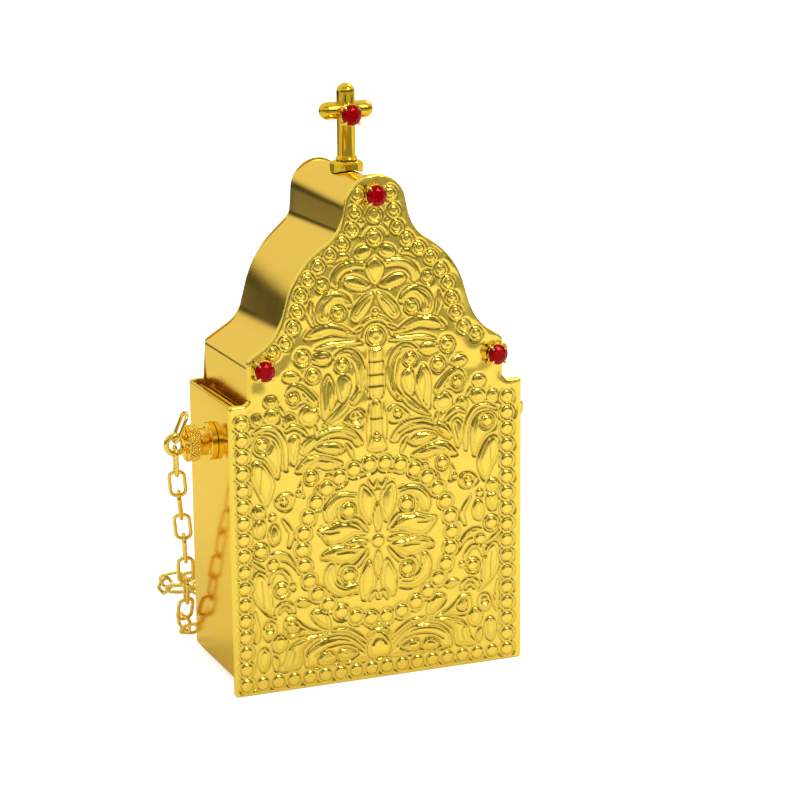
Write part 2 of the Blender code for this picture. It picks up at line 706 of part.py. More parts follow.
def thumb_screw(side, name):
    out = (side, 0, 0)
    axis = (0, SCREW_Y, SCREW_Z)
    shoulder = FLANGE_START + FLANGE_THICKNESS
    stations = (
        (FLANGE_START, FLANGE_RADIUS),
        (shoulder, FLANGE_RADIUS),
        (shoulder, SLEEVE_RADIUS + SLEEVE_FILLET),
        (shoulder + SLEEVE_FILLET, SLEEVE_RADIUS),
        (SLEEVE_END, SLEEVE_RADIUS),
    )
    flange = place("screw_flange_" + name, turned_form(stations, out, axis, SCREW_SIDES), GILT)
    bore_radius = SCREW_SHANK_RADIUS + FIT
    stations = ((FLANGE_START - FIT, bore_radius), (SLEEVE_END + FIT, bore_radius))
    bore = turned_form(stations, out, axis, SCREW_SIDES)
    boolean(flange, place("flange_bore_" + name, bore), "DIFFERENCE")
    stations = (
        (BOX_HALF_WIDTH + FIT, SCREW_SHANK_RADIUS),
        (KNOB_START, SCREW_SHANK_RADIUS),
        (KNOB_START, KNOB_RADIUS - KNOB_EDGE),
        (KNOB_START + KNOB_EDGE, KNOB_RADIUS),
        (KNOB_END - KNOB_EDGE, KNOB_RADIUS),
        (KNOB_END, KNOB_RADIUS - KNOB_EDGE),
        (KNOB_END, NECK_RADIUS + NECK_TAPER),
        (EYE_REACH - EYE_RADIUS, NECK_RADIUS - NECK_TAPER),
    )
    turned = turned_form(stations, out, axis, SCREW_SIDES)
    screw = place("thumb_screw_" + name, turned, GILT, smooth=True)
    eye = bmesh.new()
    ring(eye, (side * EYE_REACH, SCREW_Y, SCREW_Z))
    boolean(screw, place("screw_eye_" + name, eye), "UNION")


def ring(form, centre):
    """The ring of an eye, with its axis along Y."""
    grid = []
    for i in range(EYE_STEPS):
        turn = math.tau * i / EYE_STEPS
        row = []
        for j in range(EYE_SIDES):
            tilt = math.tau * j / EYE_SIDES
            reach = EYE_RADIUS + EYE_WIRE * math.cos(tilt)
            spot = (reach * math.cos(turn), EYE_WIRE * math.sin(tilt), reach * math.sin(turn))
            row.append(form.verts.new(Vector(centre) + Vector(spot)))
        grid.append(row)
    for i in range(EYE_STEPS):
        for j in range(EYE_SIDES):
            after_i = (i + 1) % EYE_STEPS
            after_j = (j + 1) % EYE_SIDES
            form.faces.new((grid[i][j], grid[after_i][j], grid[after_i][after_j], grid[i][after_j]))


# Chain: links of few sides, each standing across its neighbours

def link(form, start, end, roll, plain=False):
    """A link between two interlock points, turned about their line; a plain one has six corners."""
    start = Vector(start)
    end = Vector(end)
    along = (end - start).normalized()
    level = along.cross(Vector((0, 0, 1))).normalized()
    lift = level.cross(along)
    across = level * math.cos(roll) + lift * math.sin(roll)
    normal = along.cross(across)
    middle = (start + end) / 2
    reach = (end - start).length / 2 - LINK_BITE / 2 + LINK_WIRE * WIRE_INNER
    half = LINK_WIDTH / 2 - LINK_WIRE * WIRE_OUTER
    shoulder = reach - LINK_BEND
    flat = half - LINK_BEND
    quarter = ((reach, flat),) if plain else ((reach, flat), (shoulder, half))
    middle_side = [(0.0, half)] if plain else []
    path = [*quarter, *middle_side, *((-a, b) for a, b in reversed(quarter))]
    path += [(-a, -b) for a, b in path]
    rows = []
    for k, (a, b) in enumerate(path):
        before = Vector(path[k - 1])
        after = Vector(path[(k + 1) % len(path)])
        here = Vector((a, b))
        ahead = (here - before).normalized()
        next_ahead = (after - here).normalized()
        outward = Vector((ahead.y + next_ahead.y, -ahead.x - next_ahead.x))
        outward /= 1 + ahead.dot(next_ahead)
        row = []
        for push, side in ((WIRE_OUTER, 0.5), (WIRE_OUTER, -0.5), (-WIRE_INNER, 0.0)):
            pushed = here + outward * push * LINK_WIRE
            spot = middle + along * pushed.x + across * pushed.y + normal * side * LINK_WIRE
            row.append(form.verts.new(spot))
        rows.append(row)
    for k in range(len(rows)):
        after = rows[(k + 1) % len(rows)]
        for j in range(3):
            after_j = (j + 1) % 3
            form.faces.new((rows[k][j], after[j], after[after_j], rows[k][after_j]))


def smooth_route(points):
    """A dense line through the points, eased by Catmull and Rom's rule."""
    points = [Vector(point) for point in points]
    padded = [2 * points[0] - points[1]] + points + [2 * points[-1] - points[-2]]
    line = []
    for before, a, b, after in zip(padded, padded[1:], padded[2:], padded[3:]):
        count = max(2, round((b - a).length / ROUTE_STEP))
        for k in range(count):
            t = k / count
            spot = 2 * a + (b - before) * t + (2 * before - 5 * a + 4 * b - after) * t * t
            line.append((spot + (3 * a - before - 3 * b + after) * t * t * t) / 2)
    line.append(points[-1])
    return line


def interlocks(line, pitch):
    """Points one pitch apart along a line, from its start."""
    places = [line[0]]
    for spot in line:
        if (spot - places[-1]).length >= pitch:
            places.append(spot)
    return places


def fitted_interlocks(line, pitch):
    """As above for an odd number of links, the pitch eased so that they end where the line does."""
    tries = [interlocks(line, pitch * (0.97 + 0.001 * k)) for k in range(61)]
    odd = [places for places in tries if len(places) % 2 == 0]
    best = min(odd, key=lambda places: (line[-1] - places[-1]).length)
    return best[:-1] + [line[-1]]


def strand_route(side):
    """The strand at one side, from its eye down the side of the case to the back corner."""
    route = [(side * EYE_REACH, SCREW_Y, SCREW_Z - EYE_RADIUS + EYE_WIRE + FIT + LINK_BITE)]
    for out, back, z in STRAND_POINTS:
        route.append((side * (CASE_HALF_WIDTH + out), SCREW_Y + back, z))
    return route


def lying_route():
    """Runs side by side on the floor behind the case, then back to the foot of the right strand."""
    floor = (LINK_WIDTH - LINK_WIRE) / 2 * math.sin(math.pi / 4) + LINK_WIRE * 0.72
    route = [(-CASE_HALF_WIDTH - 0.8, CASE_BACK_Y + 4, 3.0), (-29.0, LYING_FIRST_Y - 0.8, floor)]
    turn = LYING_SPACING / 2
    for k in range(LYING_RUNS):
        y = LYING_FIRST_Y + k * LYING_SPACING
        left = LYING_LEFT_X + LYING_SLANT * (y - LYING_FIRST_Y)
        if k >= LYING_RUNS - 2:
            left = LYING_LOOP_X
        ends = [(left, y, floor), (LYING_RIGHT_X, y, floor)]
        if k % 2:
            ends.reverse()
        middle = ((ends[0][0] + ends[1][0]) / 2, y, floor)
        route += [ends[0], middle, ends[1]]
        if k < LYING_RUNS - 1:
            outward = math.copysign(turn * 0.9, ends[1][0] - ends[0][0])
            route.append((ends[1][0] + outward, y + turn, floor))
    last_y = LYING_FIRST_Y + (LYING_RUNS - 1) * LYING_SPACING
    route += [
        (LYING_RETURN_X - 2, last_y - 3, floor),
        (LYING_RETURN_X, last_y - 12, floor),
        (LYING_RETURN_X + 0.6, LYING_FIRST_Y + 8, floor),
        (LYING_RETURN_X + 0.6, LYING_FIRST_Y, floor + 0.8),
    ]
    return route


def chain_links(name, places, roll, plain=False):
    """Every other link in one mesh, the rest in another, joined where neighbours bite."""
    forms = (bmesh.new(), bmesh.new())
    for k, (start, end) in enumerate(zip(places, places[1:])):
        link(forms[k % 2], start, end, roll + math.pi / 2 * (k % 2), plain)
    chain = place(name, forms[0], GILT)
    boolean(chain, place(name + "_other_links", forms[1]), "UNION")


def chain():
    pitch = LINK_LENGTH - 2 * LINK_WIRE
    ends = []
    for side, roll, name in (
        (-1, LEFT_STRAND_ROLL, "chain_left"),
        (1, RIGHT_STRAND_ROLL, "chain_right"),
    ):
        places = interlocks(smooth_route(strand_route(side)), pitch)
        chain_links(name, places, math.radians(roll))
        back = (places[-2] - places[-1]).normalized()
        ends.append(places[-1] + back * (FIT + LINK_BITE))
    line = smooth_route([ends[0]] + lying_route() + [ends[1]])
    chain_links("chain_lying", fitted_interlocks(line, pitch), -math.pi / 4, plain=True)


def eye_link(side, name):
    """A spare link that passes through the eye and leans in over the knob."""
    lean = math.radians(LEAN_DEGREES)
    foot = Vector((side * EYE_REACH, SCREW_Y, SCREW_Z + EYE_RADIUS - EYE_WIRE - FIT - LINK_BITE))
    pitch = LINK_LENGTH - 2 * LINK_WIRE
    form = bmesh.new()
    link(form, foot, foot + Vector((-side * math.sin(lean), 0, math.cos(lean))) * pitch, 0.0)
    place("eye_link_" + name, form, GILT)


front_plate()
case_and_box()
lid()
collar_and_cross()
stone_setting("top", RELIEF_SHIFT, 0, PLATE_APEX_Z - TOP_STONE_DROP)
stone_setting("cross", CROSS_X, CROSS_Y - SHAFT_RADIUS, ARM_Z - CROSS_STONE_DROP)
for side, name in ((-1, "left"), (1, "right")):
    x = SIDE_STONE_SHIFT + side * (PLATE_DOME_HALF_WIDTH - SIDE_STONE_INSET)
    stone_setting(name, x, 0, PLATE_SHOULDER_Z + SIDE_STONE_RISE - side * SIDE_STONE_TILT)
    thumb_screw(side, name)
    eye_link(side, name)
chain()
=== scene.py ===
import math

import bmesh
import bpy
import numpy as np
from mathutils import Matrix, Vector
from mathutils.geometry import delaunay_2d_cdt


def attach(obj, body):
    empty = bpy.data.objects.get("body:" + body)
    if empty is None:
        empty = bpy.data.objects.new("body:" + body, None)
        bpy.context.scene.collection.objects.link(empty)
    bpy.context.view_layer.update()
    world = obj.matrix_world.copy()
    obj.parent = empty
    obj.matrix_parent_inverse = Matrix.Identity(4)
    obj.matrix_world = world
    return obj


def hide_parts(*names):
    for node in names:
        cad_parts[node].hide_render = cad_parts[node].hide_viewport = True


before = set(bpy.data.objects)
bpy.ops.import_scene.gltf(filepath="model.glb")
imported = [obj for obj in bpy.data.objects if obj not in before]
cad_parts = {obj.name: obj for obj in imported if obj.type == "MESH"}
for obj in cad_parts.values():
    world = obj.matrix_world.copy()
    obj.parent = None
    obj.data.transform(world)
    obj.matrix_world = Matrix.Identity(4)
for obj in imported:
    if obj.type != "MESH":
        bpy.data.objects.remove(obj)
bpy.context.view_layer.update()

# Sizes are in millimetres from the ground of the front plate (Y) and its lower edge (Z), as the solids are.
mm = 0.001
fit = 0.3  # clearance between pieces that come apart
rowShift = Vector((0.0, -19.75, -1.2))
scene = bpy.context.scene
keep = scene.collection


def toRow(spot):
    # From millimetres on the plate to metres in the row frame
    return (Vector(spot) + rowShift) * mm


# Camera first: it stands where the photograph's camera stood

cameraPlace = {
    "azimuth": 22.20, "elevation": 13.62, "roll": -0.56, "distance": 583.1,
    "aimAcross": 4.76, "aimUp": 4.79, "aimZ": 60.0, "lens": 117.98, "sensor": 36.0, "near": 0.01, "far": 50.0,
}


def addCamera(place):
    azimuth, elevation, roll = (math.radians(place[key]) for key in ("azimuth", "elevation", "roll"))
    level = Vector((math.cos(azimuth), -math.sin(azimuth), 0))
    inward = Vector((math.sin(azimuth), math.cos(azimuth), 0))
    ahead = inward * math.cos(elevation) - Vector((0, 0, math.sin(elevation)))
    upright = level.cross(ahead)
    right = level * math.cos(roll) + upright * math.sin(roll)
    up = upright * math.cos(roll) - level * math.sin(roll)
    aim = level * place["aimAcross"] + upright * place["aimUp"] + Vector((0, 0, place["aimZ"]))
    data = bpy.data.cameras.new("photoCamera")
    data.lens = place["lens"]
    data.sensor_width = place["sensor"]
    data.clip_start = place["near"]
    data.clip_end = place["far"]
    camera = bpy.data.objects.new("photoCamera", data)
    keep.objects.link(camera)
    turn = Matrix((right, up, -ahead)).transposed().to_4x4()
    camera.matrix_world = Matrix.Translation(toRow(aim - ahead * place["distance"])) @ turn
    scene.camera = camera


addCamera(cameraPlace)
print("camera placed")


# Materials

def feed(tree, node, inputs):
    # Each input takes a plain value or another node's output
    for name, value in inputs.items():
        if isinstance(value, bpy.types.NodeSocket):
            tree.links.new(value, node.inputs[name])
        else:
            node.inputs[name].default_value = value


def grow(tree, kind, inputs={}, **settings):
    node = tree.nodes.new(kind)
    for name, value in settings.items():
        setattr(node, name, value)
    feed(tree, node, inputs)
    return node


def offer(tree, name, kind, value=None):
    # A named input of a group, or an output where it has no value
    side = "OUTPUT" if value is None else "INPUT"
    made = tree.interface.new_socket(name=name, in_out=side, socket_type="NodeSocket" + kind)
    if value is not None:
        made.default_value = value


def newMaterial(name):
    made = bpy.data.materials.new(name)
    made.use_nodes = True
    return made, made.node_tree, made.node_tree.nodes["Principled BSDF"]


def grey(value):
    return (value, value, value, 1)


def setStops(ramp, stops):
    # The first and the last stop take the ramp's own two
    first, last = ramp.color_ramp.elements
    first.position, first.color = stops[0]
    last.position, last.color = stops[-1]
    for position, colour in stops[1:-1]:
        ramp.color_ramp.elements.new(position).color = colour


def buildGiltSkin():
    # Soft smears, hairline scratches and a slight ripple of a polished gilt surface, and a painted shade tone
    # mixed into its colour where a share is given
    tree = bpy.data.node_groups.new("giltSkin", "ShaderNodeTree")
    offer(tree, "Bright", "Color", (0.95, 0.70, 0.15, 1))
    offer(tree, "Shade Tone", "Color", (0.6, 0.3, 0.03, 1))
    for name, value in (
        ("Painted Shade", 0.0), ("Smear Size", 120.0), ("Roughness", 0.12),
        ("Roughness Spread", 0.06), ("Ripple", 0.15),
    ):
        offer(tree, name, "Float", value)
    for name, kind in (("Color", "Color"), ("Roughness", "Float"), ("Height", "Float")):
        offer(tree, name, kind)
    given = grow(tree, "NodeGroupInput").outputs
    surface = grow(tree, "ShaderNodeTexCoord").outputs["Object"]
    smear = grow(tree, "ShaderNodeTexNoise", {"Vector": surface, "Scale": given["Smear Size"], "Detail": 4})
    stretch = grow(tree, "ShaderNodeMapping", {
        "Vector": surface, "Rotation": (0.3, 0.2, 0.5), "Scale": (60, 60, 3200),
    })
    hairline = grow(tree, "ShaderNodeTexNoise", {
        "Vector": stretch.outputs["Vector"], "Scale": 1, "Detail": 2,
    })
    thin = grow(tree, "ShaderNodeMapRange", {
        "Value": hairline.outputs["Fac"], "From Min": 0.66, "From Max": 0.74,
    })
    rough = grow(tree, "ShaderNodeMath", {
        0: smear.outputs["Fac"], 1: given["Roughness Spread"], 2: given["Roughness"],
    }, operation="MULTIPLY_ADD")
    scratched = grow(tree, "ShaderNodeMath", {
        0: thin.outputs["Result"], 1: 0.05, 2: rough.outputs["Value"],
    }, operation="MULTIPLY_ADD")
    # Painted shade: the bright tone darkens toward the shade tone by the given share
    shadeMix = grow(tree, "ShaderNodeMix", {
        "Factor": given["Painted Shade"], "A": given["Bright"], "B": given["Shade Tone"],
    }, data_type="RGBA")
    ripple = grow(tree, "ShaderNodeTexNoise", {"Vector": surface, "Scale": 420, "Detail": 2})
    height = grow(tree, "ShaderNodeMath", {
        0: ripple.outputs["Fac"], 1: given["Ripple"],
    }, operation="MULTIPLY")
    grow(tree, "NodeGroupOutput", {
        "Color": shadeMix.outputs["Result"],
        "Roughness": scratched.outputs["Value"],
        "Height": height.outputs["Value"],
    })
    return tree


giltSkin = buildGiltSkin()

# For each finish: its bright tone, its roughness and how far that varies, and the ripple of its surface
giltLooks = {
    "chased": ((0.98, 0.71, 0.10, 1), 0.13, 0.08, 0.5),
    "case": ((0.94, 0.64, 0.11, 1), 0.12, 0.06, 0.12),
    "inner": ((0.93, 0.66, 0.14, 1), 0.22, 0.1, 0.2),
    "lid": ((0.93, 0.62, 0.12, 1), 0.17, 0.08, 0.12),
    "finial": ((0.80, 0.51, 0.03, 1), 0.09, 0.05, 0.2),
    "settings": ((0.94, 0.68, 0.14, 1), 0.08, 0.05, 0.2),
    "screws": ((0.92, 0.65, 0.1, 1), 0.1, 0.06, 0.25),
    "chain": ((0.92, 0.67, 0.13, 1), 0.12, 0.08, 0.25),
}
shadeTone = (0.40, 0.26, 0.03, 1)  # painted shade for the punched lines of the chased plate


def giltMaterial(name, look):
    made, tree, shader = newMaterial("gilt_" + name)
    skin = grow(tree, "ShaderNodeGroup", node_tree=giltSkin)
    feed(tree, skin, dict(zip(("Bright", "Roughness", "Roughness Spread", "Ripple"), look)))
    if name == "chased":
        # The chased plate darkens to a painted shade tone in its punched lines, read from a point attribute
        read = grow(tree, "ShaderNodeAttribute", attribute_name="paintedShade")
        feed(tree, skin, {"Shade Tone": shadeTone, "Painted Shade": read.outputs["Fac"]})
    dents = grow(tree, "ShaderNodeBump", {
        "Strength": 0.35, "Distance": 0.0001, "Height": skin.outputs["Height"],
    })
    feed(tree, shader, {
        "Metallic": 1, "Specular Tint": (1.0, 0.88, 0.5, 1), "Base Color": skin.outputs["Color"],
        "Roughness": skin.outputs["Roughness"], "Normal": dents.outputs["Normal"],
    })
    return made


def rubyMaterial():
    made, tree, shader = newMaterial("rubyGlass")
    surface = grow(tree, "ShaderNodeTexCoord").outputs["Object"]
    cloud = grow(tree, "ShaderNodeTexNoise", {"Vector": surface, "Scale": 500})
    ramp = grow(tree, "ShaderNodeValToRGB", {"Fac": cloud.outputs["Fac"]})
    setStops(ramp, ((0.0, (0.42, 0.0, 0.002, 1)), (1.0, (0.72, 0.0, 0.006, 1))))
    feed(tree, shader, {
        "Base Color": ramp.outputs["Color"], "Roughness": 0.03, "IOR": 1.7, "Transmission Weight": 0.6,
        "Specular Tint": (1.0, 0.08, 0.08, 1),
    })
    return made


gilt = {name: giltMaterial(name, look) for name, look in giltLooks.items()}
ruby = rubyMaterial()
print("materials ready")


# Helpers for meshes

def declare(piece, nodes):
    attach(piece, "root")
    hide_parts(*nodes)


def addPiece(name, form, look, nodes, sharp=40):
    # A bmesh in millimetres becomes a finished piece that stands for its solids
    bmesh.ops.recalc_face_normals(form, faces=form.faces)
    for vert in form.verts:
        vert.co = toRow(vert.co)
    mesh = bpy.data.meshes.new(name)
    form.to_mesh(mesh)
    form.free()
    mesh.materials.append(look)
    mesh.shade_smooth()
    mesh.set_sharp_from_angle(angle=math.radians(sharp))
    piece = bpy.data.objects.new(name, mesh)
    keep.objects.link(piece)
    declare(piece, nodes)
    return piece


def bake(piece):
    # The evaluated shape becomes the piece's own mesh, and its modifiers go
    graph = bpy.context.evaluated_depsgraph_get()
    mesh = bpy.data.meshes.new_from_object(piece.evaluated_get(graph))
    piece.modifiers.clear()
    old = piece.data
    piece.data = mesh
    mesh.name = piece.name
    bpy.data.meshes.remove(old)


def combine(form, other, operation):
    # One bmesh cut or joined with another, through Blender's Boolean
    objects = []
    for part in (form, other):
        bmesh.ops.recalc_face_normals(part, faces=part.faces)
        mesh = bpy.data.meshes.new("work")
        part.to_mesh(mesh)
        part.free()
        work = bpy.data.objects.new("work", mesh)
        keep.objects.link(work)
        objects.append(work)
    cut = objects[0].modifiers.new("cut", "BOOLEAN")
    cut.operation = operation
    cut.object = objects[1]
    cut.solver = "EXACT"
    graph = bpy.context.evaluated_depsgraph_get()
    made = bmesh.new()
    mesh = bpy.data.meshes.new_from_object(objects[0].evaluated_get(graph))
    made.from_mesh(mesh)
    bpy.data.meshes.remove(mesh)
    for work in objects:
        old = work.data
        bpy.data.objects.remove(work)
        bpy.data.meshes.remove(old)
    return made


def bridge(form, rings, closed=False):
    # Faces from ring to ring, where one point is a tip, and over the ends unless the rings are closed
    pairs = list(zip(rings, rings[1:]))
    if closed:
        pairs.append((rings[-1], rings[0]))
    for low, high in pairs:
        for k in range(max(len(low), len(high))):
            after = k + 1
            corners = (
                low[k % len(low)], low[after % len(low)], high[after % len(high)], high[k % len(high)],
            )
            form.faces.new(list(dict.fromkeys(corners)))
    if closed:
        return
    for ring in (rings[0], rings[-1]):
        if len(ring) > 1:
            form.faces.new(ring)


def turned(stations, axis, centre, sides, turn=0.0):
    # Cone stretches end to end along an axis; a station is a place along it and a radius
    form = bmesh.new()
    rings = []
    for along, radius in stations:
        angles = [math.tau * (k + turn) / sides for k in range(sides if radius else 1)]
        rings.append([form.verts.new((radius * math.cos(a), radius * math.sin(a), along)) for a in angles])
    bridge(form, rings)
    spin = Vector((0, 0, 1)).rotation_difference(Vector(axis)).to_matrix().to_4x4()
    bmesh.ops.transform(form, matrix=Matrix.Translation(centre) @ spin, verts=form.verts)
    return form


def loftForm(stations, outlineAt):
    # Rings of one outline at several depths, covered at both ends
    form = bmesh.new()
    bridge(form, [[form.verts.new((x, y, z)) for x, z in outlineAt(inset)] for inset, y in stations])
    return form


def quarter(steps):
    # The sine and the cosine of even steps through a quarter turn
    turns = [math.pi / 2 * k / steps for k in range(steps + 1)]
    return [(math.sin(turn), math.cos(turn)) for turn in turns]


# Outlines of the plate and the lid, as the solids have them; a dome is runs (length, 0), arcs (radius, turn)

plateSizes = {
    "halfWidth": 35.0, "shoulderZ": 66.7, "thickness": 1.2, "corner": 0.8, "fillet": 1.4,
    "domeHalfWidth": 30.4, "apexZ": 115.5, "eaveRadius": 2.2, "eaveTurn": 58,
    "dome": ((7.15, 78), (3.3, 0), (9.07, -48), (19.6, 44), (3.3, 0), (14.2, -24), (9.0, -18)),
    "spacing": 0.27, "rim": 0.45, "shift": -0.5, "plainEdge": 0.3, "fullRelief": 1.2,
}
lidSizes = {
    "halfWidth": 28.5, "backY": 36.7, "wall": 1.0, "apexZ": 113.9, "eaveRadius": 1.2, "eaveTurn": 58,
    "dome": ((6.9, 86), (4.4, 0), (4.2, -44), (3.6, 0), (24.0, 33), (4.6, 0), (8.0, -43)),
    "lip": 0.5, "lipThickness": 0.6, "bottomZ": 63.8, "edge": 0.35,
}


def walk(start, moves, inset=0.0, step=2.5):
    # Points along the moves, and the heading at their end; an arc is cut into chords of about step degrees
    x, z = start[0], start[1] - inset
    heading = 0.0
    points = [(x, z)]
    for size, turn in moves:
        count = max(1, math.ceil(abs(turn) / step))
        part = 0.0
        chord = size
        if turn:
            part = math.radians(turn / count)
            chord = 2 * (size - math.copysign(inset, turn)) * math.sin(abs(part) / 2)
        for _ in range(count):
            heading -= part / 2
            x += chord * math.cos(heading)
            z += chord * math.sin(heading)
            heading -= part / 2
            points.append((x, z))
    return points, heading


def domeLine(sizes, inset=0.0):
    # From the apex down to the upright side; the straight run above the eave takes up the rest of the width
    apex = (0, sizes["apexZ"])
    eave = (sizes["eaveRadius"], sizes["eaveTurn"])
    points, heading = walk(apex, sizes["dome"])
    eaveX, eaveZ = walk((0, 0), (eave,))[0][-1]
    across = eaveX * math.cos(heading) - eaveZ * math.sin(heading)
    half = sizes.get("domeHalfWidth", sizes["halfWidth"])
    straight = (half - points[-1][0] - across) / math.cos(heading)
    return walk(apex, (*sizes["dome"], (straight, 0), eave), inset)[0]


def mirrored(half):
    return half + [(-x, z) for x, z in reversed(half) if x > 1e-6]


def plateOutline(sizes):
    half = domeLine(sizes)
    fillet, corner = sizes["fillet"], sizes["corner"]
    dome, shoulder = sizes["domeHalfWidth"], sizes["shoulderZ"]
    half += [(dome + fillet * (1 - cosine), shoulder + fillet * (1 - sine)) for sine, cosine in quarter(8)]
    for centreZ, first in ((shoulder - corner, 90), (corner, 0)):
        half += arc(sizes["halfWidth"] - corner, centreZ, corner, first, first - 90)
    return mirrored(half)


def lidOutline(sizes, inset, bottomZ):
    return mirrored(domeLine(sizes, inset) + [(sizes["halfWidth"] - inset, bottomZ)])


# Shapes that the outlines and the relief are drawn with

def arc(x, z, radius, first, last, steps=6):
    turns = [math.radians(first + (last - first) * k / steps) for k in range(steps + 1)]
    return [(x + radius * math.cos(turn), z + radius * math.sin(turn)) for turn in turns]


def oval(x, z, across, up, lean=0):
    cosine, sine = math.cos(math.radians(lean)), math.sin(math.radians(lean))
    spots = [(across * math.cos(a), up * math.sin(a)) for a in (math.tau * k / 8 for k in range(8))]
    return [(x + u * cosine - v * sine, z + u * sine + v * cosine) for u, v in spots]


def bentLine(points, step, closed=False):
    # Catmull and Rom's curve through the points
    points = [Vector(point) for point in points]
    if closed:
        padded = [points[-1]] + points + [points[0], points[1]]
    else:
        padded = [2 * points[0] - points[1]] + points + [2 * points[-1] - points[-2]]
    line = []
    for before, a, b, after in zip(padded, padded[1:], padded[2:], padded[3:]):
        count = max(2, round((b - a).length / step))
        for k in range(count):
            t = k / count
            spot = 2 * a + (b - before) * t + (2 * before - 5 * a + 4 * b - after) * t * t
            line.append((spot + (3 * a - before - 3 * b + after) * t * t * t) / 2)
    if not closed:
        line.append(points[-1])
    return line


def awayFrom(x, z, line):
    # The distance to a line of points, and whether the place is inside it where it is closed
    best = np.full(len(x), np.inf)
    crossings = np.zeros(len(x), int)
    for (ax, az), (bx, bz) in zip(line, line[1:]):
        dx, dz = bx - ax, bz - az
        t = np.clip(((x - ax) * dx + (z - az) * dz) / (dx * dx + dz * dz), 0, 1)
        best = np.minimum(best, np.hypot(x - ax - t * dx, z - az - t * dz))
        if dz:
            crossings += ((az > z) != (bz > z)) & (x < dx * (z - az) / dz + ax)
    return best, crossings % 2 == 1


def insideBy(x, z, loop):
    # The distance inside a closed line, negative outside it
    away, within = awayFrom(x, z, [*loop, loop[0]])
    return np.where(within, away, -away)


def smooth(value, low, high):
    t = np.clip((value - low) / (high - low), 0, 1)
    return t * t * (3 - 2 * t)


def hump(value, middle, width):
    return np.exp(-((value - middle) / width) ** 2)


# The chased relief of the plate, laid on a fine grid form by form, with a share of painted shade for its
# punched lines

chasing = {
    "line": 0.2, "lineDepth": 0.17, "rise": 0.35, "rimShare": 0.62, "swell": 1.8, "innerAt": 0.62,
    "innerLine": 0.12, "innerWidth": 0.17, "height": 0.34, "tilt": 0.12, "tiltReach": 0.18,
    "beadRadius": 1.34, "beadHeight": 0.22,
    "domeBead": (0.95, 0.42), "cordHeight": 0.24, "cordWidth": 0.4, "cutDepth": 0.18, "cutWidth": 0.2,
    # painted shade: how dark the outer lines, the inner lines and the lone cuts are painted
    "lineShade": 0.85, "innerShade": 0.4, "cutShade": 0.7, "wave": 0.013, "waves": 40, "seed": 7,
}


class Relief:
    def __init__(self, x, z):
        self.x = x
        self.z = z
        self.height = np.zeros_like(x)
        # The share of painted shade at each point, darkest in the punched lines
        self.paintedShade = np.zeros_like(x)
        self.rng = np.random.default_rng(chasing["seed"])

    def near(self, points, margin):
        # The grid's points about some others, and where those are
        (lowX, lowZ), (highX, highZ) = np.min(points, axis=0) - margin, np.max(points, axis=0) + margin
        within = (self.x > lowX) & (self.x < highX) & (self.z > lowZ) & (self.z < highZ)
        where = np.nonzero(within)[0]
        return where, self.x[where], self.z[where]

    def lay(self, where, mask, height, paintedShade):
        self.height[where] = self.height[where] * (1 - mask) + height * mask
        self.paintedShade[where] = self.paintedShade[where] * (1 - mask) + paintedShade * mask


def overLine(edge):
    # One on a form and the line round it, and nothing beyond
    return smooth(edge, -chasing["line"] * 3.4, -chasing["line"] * 2.2)


def chasedProfile(edge, height, rimmed):
    # Height by the distance inside an edge: a punched line outside, a raised rim, and a soft swell within;
    # also painted shade along the lines
    line, rimShare = chasing["line"], chasing["rimShare"]
    rise = rimShare * smooth(edge, 0, chasing["rise"]) + (1 - rimShare) * smooth(edge, 0, chasing["swell"])
    swell = height * rise
    paintedShade = chasing["lineShade"] * hump(edge, -line, line * 0.8)
    if rimmed:
        inner = hump(edge, chasing["innerAt"], chasing["innerWidth"])
        swell = swell - chasing["innerLine"] * inner
        paintedShade = np.maximum(paintedShade, chasing["innerShade"] * inner)
    total = np.where(edge > 0, swell, 0) - chasing["lineDepth"] * hump(edge, -line, line * 0.85)
    return overLine(edge), total, paintedShade


def layForm(relief, points):
    # A raised form by its closed outline, tilted a little its own way
    line = [tuple(spot) for spot in bentLine(points, 0.5, closed=True)]
    where, x, z = relief.near(line, 1.2)
    edge = insideBy(x, z, line)
    mask, total, paintedShade = chasedProfile(edge, chasing["height"], True)
    spin, tilt = relief.rng.uniform(0, math.tau), relief.rng.uniform(0.2, 1.0) * chasing["tilt"]
    lean = tilt * ((x - x.mean()) * math.cos(spin) + (z - z.mean()) * math.sin(spin))
    lean = np.clip(lean, -chasing["tiltReach"], chasing["tiltReach"])
    total = total + lean * smooth(edge, 0, chasing["rise"])
    relief.lay(where, mask, total, paintedShade)


def layCord(relief, points):
    # A raised line between two punched lines, thinner to its ends
    line = [tuple(spot) for spot in bentLine(points, 0.5)]
    where, x, z = relief.near(line, 1.4)
    away = awayFrom(x, z, line)[0]
    ends = np.minimum(np.hypot(x - line[0][0], z - line[0][1]), np.hypot(x - line[-1][0], z - line[-1][1]))
    half = chasing["cordWidth"] * (0.4 + 0.6 * smooth(ends, 0, 2.0))
    relief.lay(where, *chasedProfile(half - away, chasing["cordHeight"], False))


def layCut(relief, points):
    # A punched line alone, with painted shade along it
    line = [tuple(spot) for spot in bentLine(points, 0.5)]
    where, x, z = relief.near(line, 1)
    away = awayFrom(x, z, line)[0]
    relief.height[where] -= chasing["cutDepth"] * hump(away, 0, chasing["cutWidth"])
    paintedShade = chasing["cutShade"] * hump(away, 0, chasing["cutWidth"] * 0.85)
    relief.paintedShade[where] = np.maximum(relief.paintedShade[where], paintedShade)


